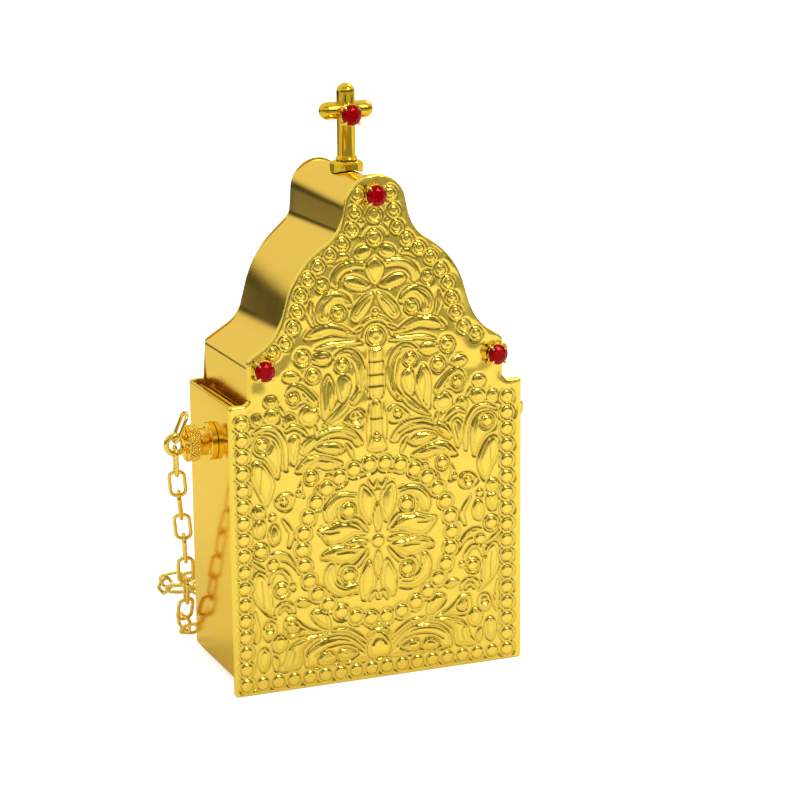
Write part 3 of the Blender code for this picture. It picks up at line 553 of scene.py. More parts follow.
def layBead(relief, x, z, radius, ring=0.0):
    # A bead with a slight dish in its flat top, and a raised ring round it where it has one; painted shade in
    # the lines round it
    line, height = chasing["line"], chasing["beadHeight"]
    where, nearX, nearZ = relief.near([(x, z)], radius + ring + 1.4)
    away = np.hypot(nearX - x, nearZ - z)
    mask = overLine(radius + ring - away)
    total = height * np.clip(1 - (away / radius) ** 5, 0, 1) - height * 0.3 * hump(away, 0, radius * 0.45)
    foot = hump(away, radius + line * 0.7, line * 0.8)
    total = total - chasing["lineDepth"] * foot
    paintedShade = chasing["lineShade"] * foot
    if ring:
        total = total + height * 0.7 * hump(away, radius + ring, ring * 0.45)
        total = total - chasing["lineDepth"] * hump(away, radius + ring * 2, line * 0.8)
        paintedShade = np.maximum(paintedShade, hump(away, radius + ring * 2, line * 0.9))
        mask = smooth(radius + ring * 2 - away, -line * 3, -line * 1.8)
    relief.lay(where, mask, total, paintedShade)


# Forms of one half of the plate. Each is an outline's points, across from the middle line and up from the
# lower edge. A bead is its place, its radius and the width of the ring round it.
lowField = {
    "forms": [
        [(2.3, 4.9), (4.3, 8.2), (7.5, 10.8), (11.1, 11.4), (14.5, 10.7), (17, 8.9), (17.8, 6.6),
         (17.1, 4.9), (9.5, 4.7)],
        [(5.3, 6.6), (6.3, 7.3), (7.8, 7.9), (9.3, 7.9), (9.9, 6.8), (9.6, 5.6), (8.7, 5.2), (7, 5.7)],
        [(10.7, 5.8), (11.5, 7.6), (13.3, 7.6), (14.7, 6.3), (14.1, 5.2), (12.3, 5.0)],
        [(23.9, 5.0), (22.5, 7.2), (21.8, 9.5), (20, 11.1), (16.5, 12.1), (12.5, 12.4), (15.5, 11.5),
         (18.2, 9.4), (18.6, 7), (19.3, 5.3), (21.5, 4.9)],
        oval(23.8, 11.4, 1.8, 2.1), oval(26.2, 14.7, 1.6, 2.2, 10),
        [(22.3, 16.9), (20.3, 17), (18.8, 15.6), (16.8, 14), (14.1, 12.8), (17, 12.7), (20, 12.5),
         (22.1, 12.7), (22.8, 14), (22.6, 15.8)],
        [(21.8, 15.4), (20.7, 15.9), (19.3, 14.6), (20.1, 13.6), (21.5, 13.7)],
        [(16.4, 17.1), (15.5, 18.1), (13.5, 18.1), (12.4, 16.6), (11.8, 14.6), (12.1, 13.5), (13.8, 14.1),
         (15.5, 15.6)],
        [(24.7, 17.6), (27, 19.2), (29.4, 22), (29.9, 25.5), (29.4, 28.3), (28, 28.8), (26.3, 27),
         (25.7, 23), (25.4, 20)],
        [(19.7, 28.4), (20.4, 30.4), (21.7, 32), (23.7, 32.8), (25.9, 32.2), (24.5, 31), (22.5, 30.7),
         (21, 29.8)],
        [(23.8, 35), (25.1, 34.6), (25.9, 36), (25.7, 38.2), (24.5, 39.4), (23.5, 38), (23.3, 36.2)],
        [(27.8, 36.5), (26.7, 38.4), (27.1, 40.3), (28.6, 40.6), (29.4, 39), (29.1, 37)],
        [(26.3, 9.6), (26.5, 6.5), (28, 5.3), (29.1, 7.5), (28.7, 10), (27.5, 10.9)],
        [(24.7, 5.2), (25.5, 6.5), (25.3, 8.6), (24.4, 8), (24.1, 6.3)],
        [(19.8, 20.3), (18.7, 21.2), (17.3, 20.9), (16.5, 19.8), (17.8, 19.2)],
        [(29.2, 12.2), (28.4, 14), (28.9, 17), (29.6, 19.6), (29.9, 16), (29.8, 13.4)],
    ],
    "cords": [
        [(11.3, 12.9), (7.5, 12.3), (5, 10.8), (3.2, 9.2)],
        arc(22.5, 18.4, 2.2, 5, 175), arc(22.5, 18.4, 1.1, 10, 170),
        [(25.8, 26.0), (24.8, 28.2), (23.1, 28.4), (21.7, 27), (21, 25.2)],
        [(30.2, 31.4), (28.5, 29.9), (26.9, 28.8)],
        [(21.3, 34), (20.6, 36.4), (21.6, 38.6), (22.6, 40)],
    ],
    "cuts": [
        [(15.8, 7.4), (14, 8.6), (12, 9.3), (9, 9.4), (6.5, 8.8), (4.5, 7.2)],
        [(27.6, 20.4), (27.6, 23.5), (27.9, 26.5)],
        [(21.3, 10.6), (20.4, 8.4), (21, 6.2)],
    ],
    "beads": [
        (23.2, 23.8, 1.2, 0.4), (25.1, 29.9, 1.2, 0.0), (27.9, 33.4, 1.3, 0.4), (26.1, 15.3, 0.6, 0.0),
        (20.6, 24.4, 0.7, 0.0),
    ],
}
medallionField = {
    "forms": [
        [(2.7, 34.6), (4.1, 36.3), (6.5, 37.6), (9.5, 37.9), (12, 37.1), (14.4, 36.5), (13.4, 34.9),
         (11.7, 33.1), (8.7, 33.2), (6, 34.4)],
        [(3.3, 31.2), (5.5, 31.6), (8, 32.1), (10.5, 32.2), (12.8, 31.4), (13.7, 30), (11.5, 29.4),
         (9.7, 28.5), (7.9, 28.1), (6.1, 28.6), (4.5, 29.9)],
        [(2.3, 32.7), (4.3, 33.4), (6.3, 33.2), (7.8, 32.6), (6.1, 32.1), (4, 32.1)],
        [(4.2, 21.6), (7, 20.7), (9.7, 20.8), (11.8, 22.3), (12.9, 24.4), (12.6, 27), (11.5, 28.5),
         (10.6, 28.0), (10.5, 26), (9.7, 23.9), (7.7, 22.8), (5.5, 23.1)],
        [(4.2, 43.5), (7, 44.5), (9.7, 44.4), (11.8, 42.9), (12.9, 40.8), (12.4, 38.6), (11, 38.4),
         (10.5, 39.6), (9.7, 41.4), (7.7, 42.4), (5.5, 41.9)],
        [(0.9, 21.8), (2.5, 19.6), (3.8, 19.2), (4.4, 21.5), (4.3, 24), (3.5, 26.3), (2.1, 28.2), (1.1, 26),
         (0.8, 24)],
        [(0.9, 43.4), (2.5, 45.4), (3.8, 45.8), (4.4, 43.6), (4.3, 41.0), (3.5, 38.7), (2.1, 36.9),
         (1.1, 39), (0.8, 41)],
    ],
    "cords": [
        [(2.6, 30.6), (4.3, 28.4), (6, 27.2), (8.2, 27.6), (9.5, 26)],
        [(2.6, 35.2), (4.3, 37.6), (6, 38.4), (8.4, 38.3), (9.5, 39.8)],
        [(0.2, 19.2), (1.0, 20.6), (2.1, 18.9)],
        [(0.2, 46.4), (1.0, 45), (2.1, 46.7)],
    ],
    "cuts": [
        [(9.5, 35.9), (12, 35.8), (14, 36.1)],
        [(5, 30.4), (7.5, 30.9), (10, 30.8)],
    ],
    "beads": [
        (7.1, 25.2, 1.3, 0.35), (7.0, 40.4, 1.3, 0.35),
    ],
}
highField = {
    "forms": [
        [(3.3, 55.6), (5, 58.2), (7.7, 59.6), (10.7, 59.8), (13.5, 59), (15.5, 58.3), (17.3, 57.3),
         (18.2, 55.4), (17.6, 54.4), (16, 55.2), (14, 56.9), (11, 57.8), (8, 57.5), (5.9, 56.6),
         (4.8, 55.2)],
        [(7.9, 54.7), (9.5, 56.1), (12.1, 56.3), (14.3, 55.5), (12, 54.3), (9.5, 53.8)],
        [(19.3, 50.7), (18.1, 52.4), (16.3, 53.8), (13.5, 53.6), (11, 52.9), (8.8, 52), (8.4, 51.3),
         (10.5, 50.6), (12.5, 50.6), (14.5, 51.4), (16.8, 50.6)],
        [(23.7, 49.8), (22.9, 53.5), (23.1, 57), (24.5, 59.1), (26.9, 59.8), (28.8, 58.9), (29.2, 56.8),
         (28.1, 55.3), (26.5, 54.5), (25, 52.2)],
        [(26.4, 43.8), (28.1, 46.6), (29.6, 50), (29.5, 53.3), (28.2, 54), (26.4, 52.8), (24.7, 49.4),
         (24.7, 46.8)],
        [(24.4, 44), (23, 45.8), (21, 46), (19.8, 44.8), (20.5, 42.9), (22.5, 42.3)],
        [(19.6, 52.3), (20.9, 54.8), (21, 57.4), (19.7, 58.9), (18.4, 58.2), (18.7, 55.6)],
        [(7.8, 60.9), (6, 62.8), (4, 63.5), (2.6, 62.3), (2.8, 60.5), (4.1, 59.6), (6.3, 59.9)],
        [(12.8, 60.4), (10.5, 62.6), (8.1, 64.9), (6.3, 66.2), (6.9, 64), (9.3, 61.8)],
        oval(16.1, 63.1, 2.2, 2.2, 20),
        [(21.3, 68.3), (20.9, 66.2), (19.5, 65.2), (18.2, 66), (16.8, 66.2), (14.9, 64.8), (14, 66.2),
         (15.4, 68.2), (17.8, 70.2), (20.3, 70.2)],
        oval(20, 72.1, 1.9, 1.2, 8), oval(24.9, 67.1, 1.6, 1.4), oval(24.7, 63.6, 1.7, 1.6),
        oval(20.6, 62.2, 1.4, 1.5), oval(28.3, 63.2, 1.4, 1.5),
        [(5.3, 64.6), (3.4, 66.8), (2.6, 70), (3.1, 74), (5.1, 76.8), (7.9, 77.2), (9.9, 75.8), (9, 75),
         (7.1, 75.3), (5.3, 73.8), (4.5, 70.5), (4.9, 67.5), (6.2, 65.4)],
        [(12.4, 61.8), (13, 66), (12.8, 70), (11.4, 72.0), (10.3, 70.5), (9.5, 67.5), (10.3, 64.6)],
        [(8.2, 65.4), (9.1, 67.5), (8.9, 70.6), (7.6, 71.4), (6.2, 70.2), (6.5, 67.5)],
        [(15.6, 75.8), (13.7, 76.9), (11.3, 76.8), (10.6, 75.4), (12.1, 74.3), (14.1, 74.6)],
        oval(28.2, 42.3, 1.5, 1.6),
        [(7.3, 47.2), (9.3, 45.9), (11.4, 46.2), (12.4, 47.4), (10, 47.8)],
        [(4.9, 80), (7.5, 82.2), (11, 83.3), (14.3, 82.8), (16.7, 80.4), (13.5, 80.3), (10.5, 80.9),
         (7.5, 80.2)],
        [(0.9, 49.4), (3.5, 48.2), (5.6, 48.3), (4.2, 49.8)],
    ],
    "cords": [
        [(29.0, 60.3), (26.5, 61.3), (23.9, 60.7), (22.1, 58.2), (21.6, 55), (21.6, 51.5)],
        [(21.4, 60.2), (19.6, 61), (17.6, 60), (16.6, 58.8)],
        [(3.5, 78.4), (7, 78.6), (11, 78.5), (14, 77.9)],
        arc(0, 79.6, 4.0, 0, 180),
        [(17.9, 48.3), (18.4, 46.6), (17.7, 45)],
        [(14.6, 60.6), (14.0, 58.0)],
        [(1.9, 56), (1.9, 60), (1.5, 64)],
        [(1.3, 66), (1.6, 70), (1.3, 75)],
        [(22.8, 65.6), (21.9, 63.8)],
        [(5.8, 52.6), (6.4, 54.4), (7.2, 55.6)],
    ],
    "cuts": [
        [(5.3, 57.2), (8, 58.6), (11, 58.9), (14, 58)],
        [(12, 52.4), (14, 52.7), (16.3, 52)],
        [(27.8, 46.6), (27.6, 50), (27.4, 53)],
        [(3.9, 67.4), (3.6, 70.5), (4.2, 74), (6, 76.2)],
        [(11.3, 64), (11.6, 67.5), (11.3, 70.4)],
        [(17.5, 68.4), (16.2, 66.8)],
    ],
    "beads": [
        (27.0, 57.5, 1.1, 0.35), (15.8, 49, 1.1, 0.35), (13.7, 45.6, 0.9, 0.3), (18.8, 45.6, 0.6, 0.0),
        (22.2, 44.3, 0.7, 0.0), (19.6, 67.4, 1.0, 0.3), (8.1, 73.6, 1.2, 0.3), (17.2, 76.2, 1.3, 0.35),
        (14.9, 71.9, 1.2, 0.35), (5.1, 61.6, 0.8, 0.0), (11.6, 48.6, 0.8, 0.0), (25, 40.9, 0.8, 0.0),
    ],
}
domeField = {
    "forms": [
        [(13.6, 84.2), (13.8, 87), (12.1, 89.4), (9.1, 90.2), (6.5, 89), (5.6, 87), (6.6, 86.8), (8.1, 88),
         (9.7, 87.6), (10.7, 86), (10.4, 84), (12, 83.4)],
        [(0.6, 89.4), (2.7, 88.6), (5.1, 86.2), (5.7, 84), (4.3, 83.2), (2.3, 85), (0.8, 87.6)],
        [(1, 90.8), (3.5, 90.1), (6.7, 91.2), (7.1, 92.9), (5, 93.3), (2.6, 92.2)],
        [(2.1, 96.2), (5, 96.7), (8.1, 96), (10.1, 94), (10.2, 91.8), (9, 91.2), (8.6, 93), (7.1, 94.5),
         (4.5, 95.1), (2.5, 94.9)],
        oval(2.9, 98.4, 2.0, 1.4, -20),
        [(9.8, 96.6), (8, 97.3), (6.2, 97.6), (7.4, 98.8), (9, 98.2)],
        [(2.8, 103.8), (2.3, 104.9), (3.5, 106.2), (3.7, 104.8)],
    ],
    "cords": [
        [(14.7, 83.2), (15.5, 85.6), (15.2, 88.4)],
        [(3.2, 81.6), (4.6, 81)],
        arc(0, 101.6, 3.1, 10, 170),
    ],
    "cuts": [
        [(1.4, 88.2), (3, 86.6), (4.4, 84.6)],
        [(12.6, 85), (12.4, 87.4), (10.4, 89)],
    ],
    "beads": [
        (8.7, 85.5, 1.2, 0.35), (12.5, 91.9, 1.1, 0.3),
    ],
}
middleField = {
    "forms": [
        [(0, 97), (-1.9, 95.6), (-1.8, 93.6), (0, 91.2), (1.8, 93.6), (1.9, 95.6)],
        [(0, 30.4), (-0.8, 28.4), (-0.7, 25.8), (0, 23.8), (0.7, 25.8), (0.8, 28.4)],
        [(0, 34.8), (-0.8, 36.8), (-0.7, 39.4), (0, 41.6), (0.7, 39.4), (0.8, 36.8)],
        [(-2.2, 5.2), (-2.5, 8.4), (0, 10.8), (2.5, 8.4), (2.2, 5.2)],
        [(-1.2, 66.0), (-1.3, 72), (-1.2, 77), (1.2, 77), (1.3, 72), (1.2, 66)],
        [(-2.0, 53.8), (-1.1, 58), (-0.9, 64.4), (0.9, 64.4), (1.1, 58), (2.0, 53.8)],
    ],
    "cords": [
        arc(0, 8.4, 3.3, 40, 140), arc(0, 8.4, 4.3, 62, 118),
    ],
    "cuts": [
        arc(0, 8.0, 1.5, 10, 170),
        [(-1.6, 74), (1.6, 74)],
        [(-1.6, 71), (1.6, 71)],
        [(-1.6, 68.4), (1.6, 68.4)],
        [(-1.3, 61), (1.3, 61)],
    ],
    "beads": [
        (0, 79.5, 1.7, 0.35), (0, 101.6, 1.3, 0.4), (0, 106.6, 1.3, 0.35), (0, 32.5, 1.35, 0.0),
        (0, 84.9, 0.7, 0.0), (0, 57, 0.6, 0.0),
    ],
}
beading = {
    "pitch": 3.76, "half": 31.8, "lowZ": 2.6, "columns": 17, "rows": 17, "scallop": 2.15, "span": 62,
    "medallion": (0, 32.5, 18.1, 30),
    "dome": [
        (3.9, 111.2), (4.6, 107.3), (5.3, 103.6), (7.6, 100.7), (10.6, 98.5), (13.3, 96.1), (15.7, 93.3),
        (17.4, 90.1), (18.3, 86.6), (19.3, 83.1), (21.2, 79.8), (24.2, 78),
    ],
}


def layField(relief, field, sides=(1, -1)):
    for side in sides:
        for kind, layOne in (("forms", layForm), ("cords", layCord), ("cuts", layCut)):
            for points in field[kind]:
                layOne(relief, [(side * x, z) for x, z in points])
        for x, z, radius, ring in field["beads"]:
            layBead(relief, side * x, z, radius, ring)


def layBorder(relief, border):
    # Beads down the sides and along the foot under scalloped lines, round the medallion and up the dome
    half, low, rows = border["half"], border["lowZ"], border["rows"]
    radius, reach, span = chasing["beadRadius"], border["scallop"], border["span"]
    for k in range(border["columns"]):
        z = low + k * border["pitch"]
        for x in (-half, half):
            layCut(relief, arc(x, z, reach, -span, span))
            layCut(relief, arc(x, z, reach, 180 - span, 180 + span))
            layBead(relief, x, z, radius)
    for k in range(rows + 1):
        x = half * (2 * k / rows - 1)
        layCut(relief, arc(x, low, reach * 0.97, 270 - span, 270 + span))
        if 0 < k < rows:
            layBead(relief, x, low, radius)
    middleX, middleZ, ring, count = border["medallion"]
    spots = arc(middleX, middleZ, ring, 0, 360, count)[:count]
    for k, (x, z) in enumerate(spots):
        outward = 360 * k / count
        layCut(relief, arc(x, z, reach, outward - span, outward + span))
        layCut(relief, arc(x, z, reach, outward + 180 - span, outward + 180 + span))
    for x, z in spots:
        layBead(relief, x, z, radius * 1.05)
    for x, z in border["dome"]:
        for side in (-1, 1):
            layBead(relief, side * x, z, *chasing["domeBead"])


def chase(x, z):
    # A faint hammered ground first, then the fields, and the beads last
    relief = Relief(x, z)
    rng = relief.rng
    for _ in range(chasing["waves"]):
        spin, size, phase = rng.uniform(0, math.tau), rng.uniform(0.5, 1.3), rng.uniform(0, math.tau)
        relief.height += chasing["wave"] * np.sin((x * math.cos(spin) + z * math.sin(spin)) * size + phase)
    for field in (lowField, medallionField, highField, domeField):
        layField(relief, field)
    layField(relief, middleField, sides=(1,))
    layBorder(relief, beading)
    print("relief", len(x), "points, highest", round(float(relief.height.max()), 2))
    return relief


def subdivided(outline, spacing):
    fine = []
    for a, b in zip(outline, outline[1:] + outline[:1]):
        count = max(1, round(math.dist(a, b) / spacing))
        fine += [(a[0] + (b[0] - a[0]) * k / count, a[1] + (b[1] - a[1]) * k / count) for k in range(count)]
    return fine


def boundaryLoop(triangles):
    # The open edge of a triangulated sheet, as one loop of points in order
    ends = {}
    for a, b, c in triangles:
        for pair in ((a, b), (b, c), (c, a)):
            back = (pair[1], pair[0])
            if back in ends:
                del ends[back]
            else:
                ends[pair] = True
    after = dict(ends.keys())
    loop = [next(iter(after))]
    while after[loop[-1]] != loop[0]:
        loop.append(after[loop[-1]])
    return loop


def frontPlate(sizes):
    # A grid inside the outline carries the relief, and a plain side and back close the sheet
    outline = plateOutline(sizes)
    spacing, rim = sizes["spacing"], sizes["rim"]
    gridX = np.arange(-sizes["halfWidth"] + spacing, sizes["halfWidth"], spacing)
    gridZ = np.arange(spacing, sizes["apexZ"], spacing)
    x, z = (part.ravel() for part in np.meshgrid(gridX, gridZ))
    inside = insideBy(x, z, outline) > spacing * 0.6
    fine = subdivided(outline, spacing)
    spots = [Vector(spot) for spot in [*fine, *zip(x[inside], z[inside])]]
    edges = [(k, (k + 1) % len(fine)) for k in range(len(fine))]
    flat, _, triangles = delaunay_2d_cdt(spots, edges, [], 1, 1e-7)[:3]
    x, z = np.array([tuple(spot) for spot in flat]).T
    relief = chase(x - sizes["shift"], z)
    gap = np.maximum(insideBy(x, z, outline), 0)
    fade = smooth(gap, sizes["plainEdge"], sizes["fullRelief"])
    drop = rim - np.sqrt(np.clip(rim ** 2 - np.clip(rim - gap, 0, rim) ** 2, 0, None))
    ring = boundaryLoop(triangles)
    front = np.column_stack([x, drop - relief.height * fade, z])
    back = np.column_stack([x[ring], np.full(len(ring), sizes["thickness"]), z[ring]])
    first = len(front)
    polygons = [tuple(face) for face in triangles]
    for k, here in enumerate(ring):
        after = (k + 1) % len(ring)
        polygons.append((here, ring[after], first + after, first + k))
    polygons.append(tuple(range(first, first + len(ring))))
    sheet = bpy.data.meshes.new("sheet")
    sheet.from_pydata(np.vstack([front, back]).tolist(), [], polygons)
    form = bmesh.new()
    form.from_mesh(sheet)
    bpy.data.meshes.remove(sheet)
    piece = addPiece("chased_front_plate", form, gilt["chased"], ["front_plate"], 62)
    # The painted shade of the punched lines goes on the front's points, for the gilt to darken
    paintedShade = np.zeros(first + len(ring), np.float32)
    paintedShade[:first] = np.clip(relief.paintedShade * fade, 0, 1)
    piece.data.attributes.new("paintedShade", "FLOAT", "POINT").data.foreach_set("value", paintedShade)
    print("front plate", len(polygons), "faces")


frontPlate(plateSizes)


# Case and inner box

caseSizes = {
    "half": 32.6, "frontY": 1.5, "backY": 38.0, "underside": 1.2, "rim": 64.9, "frontRim": 62.9,
    "wall": 1.0, "corner": 3.0, "frontCorner": 0.3, "foot": 1.2, "lip": 0.2,
}
boxSizes = {
    "half": 29.4, "frontY": 2.8, "backY": 36.4, "underside": 2.5, "rim": 63.5,
    "wall": 1.4, "corner": 2.0, "frontCorner": 0.3, "foot": 0.6, "lip": 0.2,
}
screwSizes = {
    "y": 19.0, "z": 54.7, "base": 32.9, "flange": 4.3, "flangeThick": 1.3, "sleeve": 3.1, "sleeveLength": 3.4,
    "shank": 1.5, "knob": 4.2, "knobLength": 2.7, "edge": 0.35, "neck": 1.3, "seat": 0.06,
    "reach": 41.5, "eye": 2.1, "eyeWire": 0.65,
    "around": 252, "teeth": 28, "knurlDepth": 0.34, "knurlPower": 0.8, "knurlFade": 0.3, "knurlRings": 16,
}


def boxOutline(sizes, inset, steps=8):
    # Rounded at the back and nearly square at the front; past a corner's radius an inset moves its centre
    half, frontY, backY = sizes["half"], sizes["frontY"], sizes["backY"]
    corner, front = sizes["corner"], sizes["frontCorner"]
    points = []
    for x, y, radius, first in (
        (half - corner, backY - corner, corner, 0),
        (-half + corner, backY - corner, corner, 90),
        (-half + front, frontY + front, front, 180),
        (half - front, frontY + front, front, 270),
    ):
        past = max(inset - radius, 0)
        x += math.copysign(past, -x)
        y += math.copysign(past, (frontY + backY) / 2 - y)
        points += arc(x, y, max(radius - inset, 0.01), first, first + 90, steps)
    return points


def shellForm(sizes):
    # An open box: rings from the middle of the underside, up the outside, over the rim and down the inside
    foot, wall, lip, low, rim = (sizes[key] for key in ("foot", "wall", "lip", "underside", "rim"))
    stations = [(foot + 0.6, low)]
    stations += [(foot * (1 - sine), low + foot * (1 - cosine)) for sine, cosine in quarter(6)]
    stations += [(lip * (1 - cosine), rim - lip * (1 - sine)) for sine, cosine in quarter(3)]
    stations += [(wall - lip * (1 - sine), rim - lip * (1 - cosine)) for sine, cosine in quarter(3)]
    stations += [(wall, low + wall + 0.4), (wall + 0.4, low + wall)]
    form = bmesh.new()
    bridge(form, [[form.verts.new((x, y, z)) for x, y in boxOutline(sizes, inset)] for inset, z in stations])
    return form


def cubeForm(low, high):
    form = bmesh.new()
    low, high = Vector(low), Vector(high)
    place = Matrix.Translation((high + low) / 2) @ Matrix.Diagonal((*(high - low), 1))
    bmesh.ops.create_cube(form, size=1, matrix=place)
    return form


def caseAndBox():
    # The case's front wall stands lower than the others, and each side has a bore for its screw
    inner = caseSizes["half"] - caseSizes["wall"]
    front = caseSizes["frontY"]
    step = cubeForm(
        (-inner, front - 1, caseSizes["frontRim"]),
        (inner, front + caseSizes["wall"] + 0.1, caseSizes["rim"] + 1),
    )
    case = combine(shellForm(caseSizes), step, "DIFFERENCE")
    bore = screwSizes["shank"] + fit
    reach = caseSizes["half"] + 1
    drill = turned(((-reach, bore), (reach, bore)), (1, 0, 0), (0, screwSizes["y"], screwSizes["z"]), 32)
    addPiece("outer_case", combine(case, drill, "DIFFERENCE"), gilt["case"], ["case"], 30)
    addPiece("inner_liner", shellForm(boxSizes), gilt["inner"], ["inner_box"], 30)


caseAndBox()
print("case and inner box")


# Lid, collar and cross

def lidPiece(sizes):
    # A rounded front edge, a smooth side, and a lip at the back that stands a little proud
    edge, wall, lip, bottom = sizes["edge"], sizes["wall"], sizes["lip"], sizes["bottomZ"]
    front, back = caseSizes["frontY"], sizes["backY"]
    lipFront = back - sizes["lipThickness"]
    stations = [(edge * (1 - sine), front + edge * (1 - cosine)) for sine, cosine in quarter(4)]
    stations += [(0.0, lipFront - 0.15), (-0.05, lipFront - 0.04), (-lip + 0.12, lipFront)]
    stations += [(-lip, lipFront + 0.1), (-lip, back - 0.2), (-lip + 0.06, back - 0.06), (-lip + 0.2, back)]
    shell = loftForm(stations, lambda inset: lidOutline(sizes, inset, bottom))
    within = [(wall, front + wall), (wall, back - wall)]
    hollow = loftForm(within, lambda inset: lidOutline(sizes, inset, bottom - 1))
    addPiece("dome_lid", combine(shell, hollow, "DIFFERENCE"), gilt["lid"], ["lid"], 30)


crossSizes = {
    "x": 0.5, "y": 19.0, "collarWidth": 7.0, "footWidth": 3.2, "footTop": 113.0, "flare": 2.5,
    "collarTop": 116.0, "chamfer": 0.6, "skirt": 1.5, "boreDepth": 2.2,
    "shaft": 2.03, "arm": 1.98, "top": 133.4, "armZ": 127.3, "halfSpan": 6.35, "sides": 40,
}


def roundEnd(end, radius, way):
    # Stations of a half ball, from its girth to its tip
    ball = [(end - way * radius * (1 - sine), radius * cosine) for sine, cosine in quarter(10)[:-1]]
    return ball + [(end, 0.0)]


def collarPiece(sizes):
    # Eight-sided, cut to sit over the lid's crown, with a bore for the shaft
    across = sizes["collarWidth"] / 2 / math.cos(math.pi / 8)
    top, chamfer, foot, seat = sizes["collarTop"], sizes["chamfer"], sizes["footWidth"], sizes["footTop"]
    centre = (sizes["x"], sizes["y"], 0)
    stations = [
        (lidSizes["apexZ"] - sizes["skirt"], foot), (seat, foot), (seat + chamfer, across),
        (top - chamfer, across), (top - chamfer * 0.35, across - chamfer * 0.45), (top, across - chamfer),
    ]
    collar = turned(stations, (0, 0, 1), centre, 8, turn=0.5)
    upright = [
        edge for edge in collar.edges
        if min(vert.co.z for vert in edge.verts) > seat and abs(edge.verts[0].co.z - edge.verts[1].co.z) > 0.2
    ]
    bmesh.ops.bevel(collar, geom=upright, offset=0.15, segments=2, profile=0.5, affect="EDGES")
    over = [(-fit, 0.0), (-fit, lidSizes["backY"] + 2)]
    saddle = loftForm(over, lambda inset: lidOutline(lidSizes, inset, lidSizes["bottomZ"] - fit))
    collar = combine(collar, saddle, "DIFFERENCE")
    bore = sizes["shaft"] + fit
    drill = turned(((top - sizes["boreDepth"], bore), (top + 1, bore)), (0, 0, 1), centre, sizes["sides"])
    collar = combine(collar, drill, "DIFFERENCE")
    addPiece("cross_collar", collar, gilt["finial"], ["finial_collar"], 30)


def crossPiece(sizes):
    # A shaft that flares at its foot, and arms with round ends
    shaft, arm, top, half, sides = (sizes[key] for key in ("shaft", "arm", "top", "halfSpan", "sides"))
    centre = (sizes["x"], sizes["y"], 0)
    foot = sizes["collarTop"] - sizes["boreDepth"] + fit
    seat = sizes["collarTop"] + fit
    upright = turned([(foot, 0.0), (foot, shaft)] + roundEnd(top, shaft, 1), (0, 0, 1), centre, sides)
    flare = turned([
        (seat, shaft - 0.5), (seat, sizes["flare"] - 0.1), (seat + 0.15, sizes["flare"]),
        (seat + 0.7, shaft + 0.15), (seat + 1.3, shaft - 0.3),
    ], (0, 0, 1), centre, sides)
    upright = combine(upright, flare, "UNION")
    arms = turned(roundEnd(-half, arm, -1)[::-1] + roundEnd(half, arm, 1), (1, 0, 0),
                  (sizes["x"], sizes["y"], sizes["armZ"]), sides)
    addPiece("round_cross", combine(upright, arms, "UNION"), gilt["finial"], ["cross"], 35)


lidPiece(lidSizes)
collarPiece(crossSizes)
crossPiece(crossSizes)
print("lid, collar and cross")


# Stones in claw settings

stoneSizes = {
    "radius": 2.25, "table": 1.3, "crown": 0.75, "pavilion": 1.2, "setting": 2.5, "settingHeight": 1.5,
    "floor": 0.4, "clawHeight": 2.3, "clawWidth": 0.7, "clawThick": 0.45, "claws": 4,
    "places": {
        "top": (-0.5, 0, 111.0), "left": (-27.0, 0, 74.3), "right": (28.4, 0, 73.0),
        "cross": (0.5, 16.97, 126.5),
    },
}


def brilliant(sizes, centre, girdle):
    # Table, star and kite facets over a thin girdle, and a pavilion below
    form = bmesh.new()
    for height, radius, sides, turn in (
        (girdle + sizes["crown"], sizes["table"], 8, 0.5),
        (girdle + sizes["crown"] * 0.55, sizes["radius"] * 0.82, 8, 0.0),
        (girdle + 0.12, sizes["radius"], 16, 0.0),
        (girdle, sizes["radius"], 16, 0.0),
        (girdle - sizes["pavilion"] + 0.45, 0.5, 8, 0.0),
    ):
        for k in range(sides):
            angle = math.tau * (k + turn) / sides
            form.verts.new((radius * math.cos(angle), -height, radius * math.sin(angle)))
    bmesh.ops.convex_hull(form, input=form.verts)
    bmesh.ops.translate(form, vec=centre, verts=form.verts)
    return form


def clawForm(sizes):
    # One claw at +X of its stone, folded over the crown; a station is its lean, height, width and thickness
    reach, wide = sizes["radius"] + fit, sizes["clawWidth"] / 2
    thick, top = sizes["clawThick"], sizes["clawHeight"]
    form = bmesh.new()
    rings = []
    for lean, height, narrow, thin in (
        (0.0, fit + 0.1, 1.0, 1.0), (0.06, 1.2, 0.95, 1.0), (0.04, 1.9, 0.85, 0.9),
        (-0.2, top, 0.7, 0.8), (-0.62, top + 0.14, 0.5, 0.6),
    ):
        section = ((0, -1), (0.75, -1), (1, -0.4), (1, 0.4), (0.75, 1), (0, 1))
        inner, deep = reach - 0.1 + lean, thick * thin + 0.1
        spots = [(inner + deep * u, wide * narrow * v, height) for u, v in section]
        rings.append([form.verts.new(spot) for spot in spots])
    bridge(form, rings)
    return form


def stoneSetting(name, centre, sizes):
    out = (0, -1, 0)
    radius, height = sizes["setting"], sizes["settingHeight"]
    cup = turned((
        (fit, radius * 0.8), (0.9, radius * 0.9), (height - 0.1, radius), (height, radius - 0.1),
    ), out, centre, 32)
    hollow = ((fit + sizes["floor"], sizes["table"] * 0.6), (height + 0.1, radius - 0.35))
    cup = combine(cup, turned(hollow, out, centre, 32), "DIFFERENCE")
    facing = Matrix.Translation(centre) @ Matrix.Rotation(math.pi / 2, 4, "X")
    for k in range(sizes["claws"]):
        claw = clawForm(sizes)
        turn = facing @ Matrix.Rotation(math.tau * (k + 0.5) / sizes["claws"], 4, "Z")
        bmesh.ops.transform(claw, matrix=turn, verts=claw.verts)
        cup = combine(cup, claw, "UNION")
    addPiece("claw_setting_" + name, cup, gilt["settings"], ["setting_" + name], 40)
    gem = brilliant(sizes, centre, height + fit)
    addPiece("cut_stone_" + name, gem, ruby, ["stone_" + name], 1)


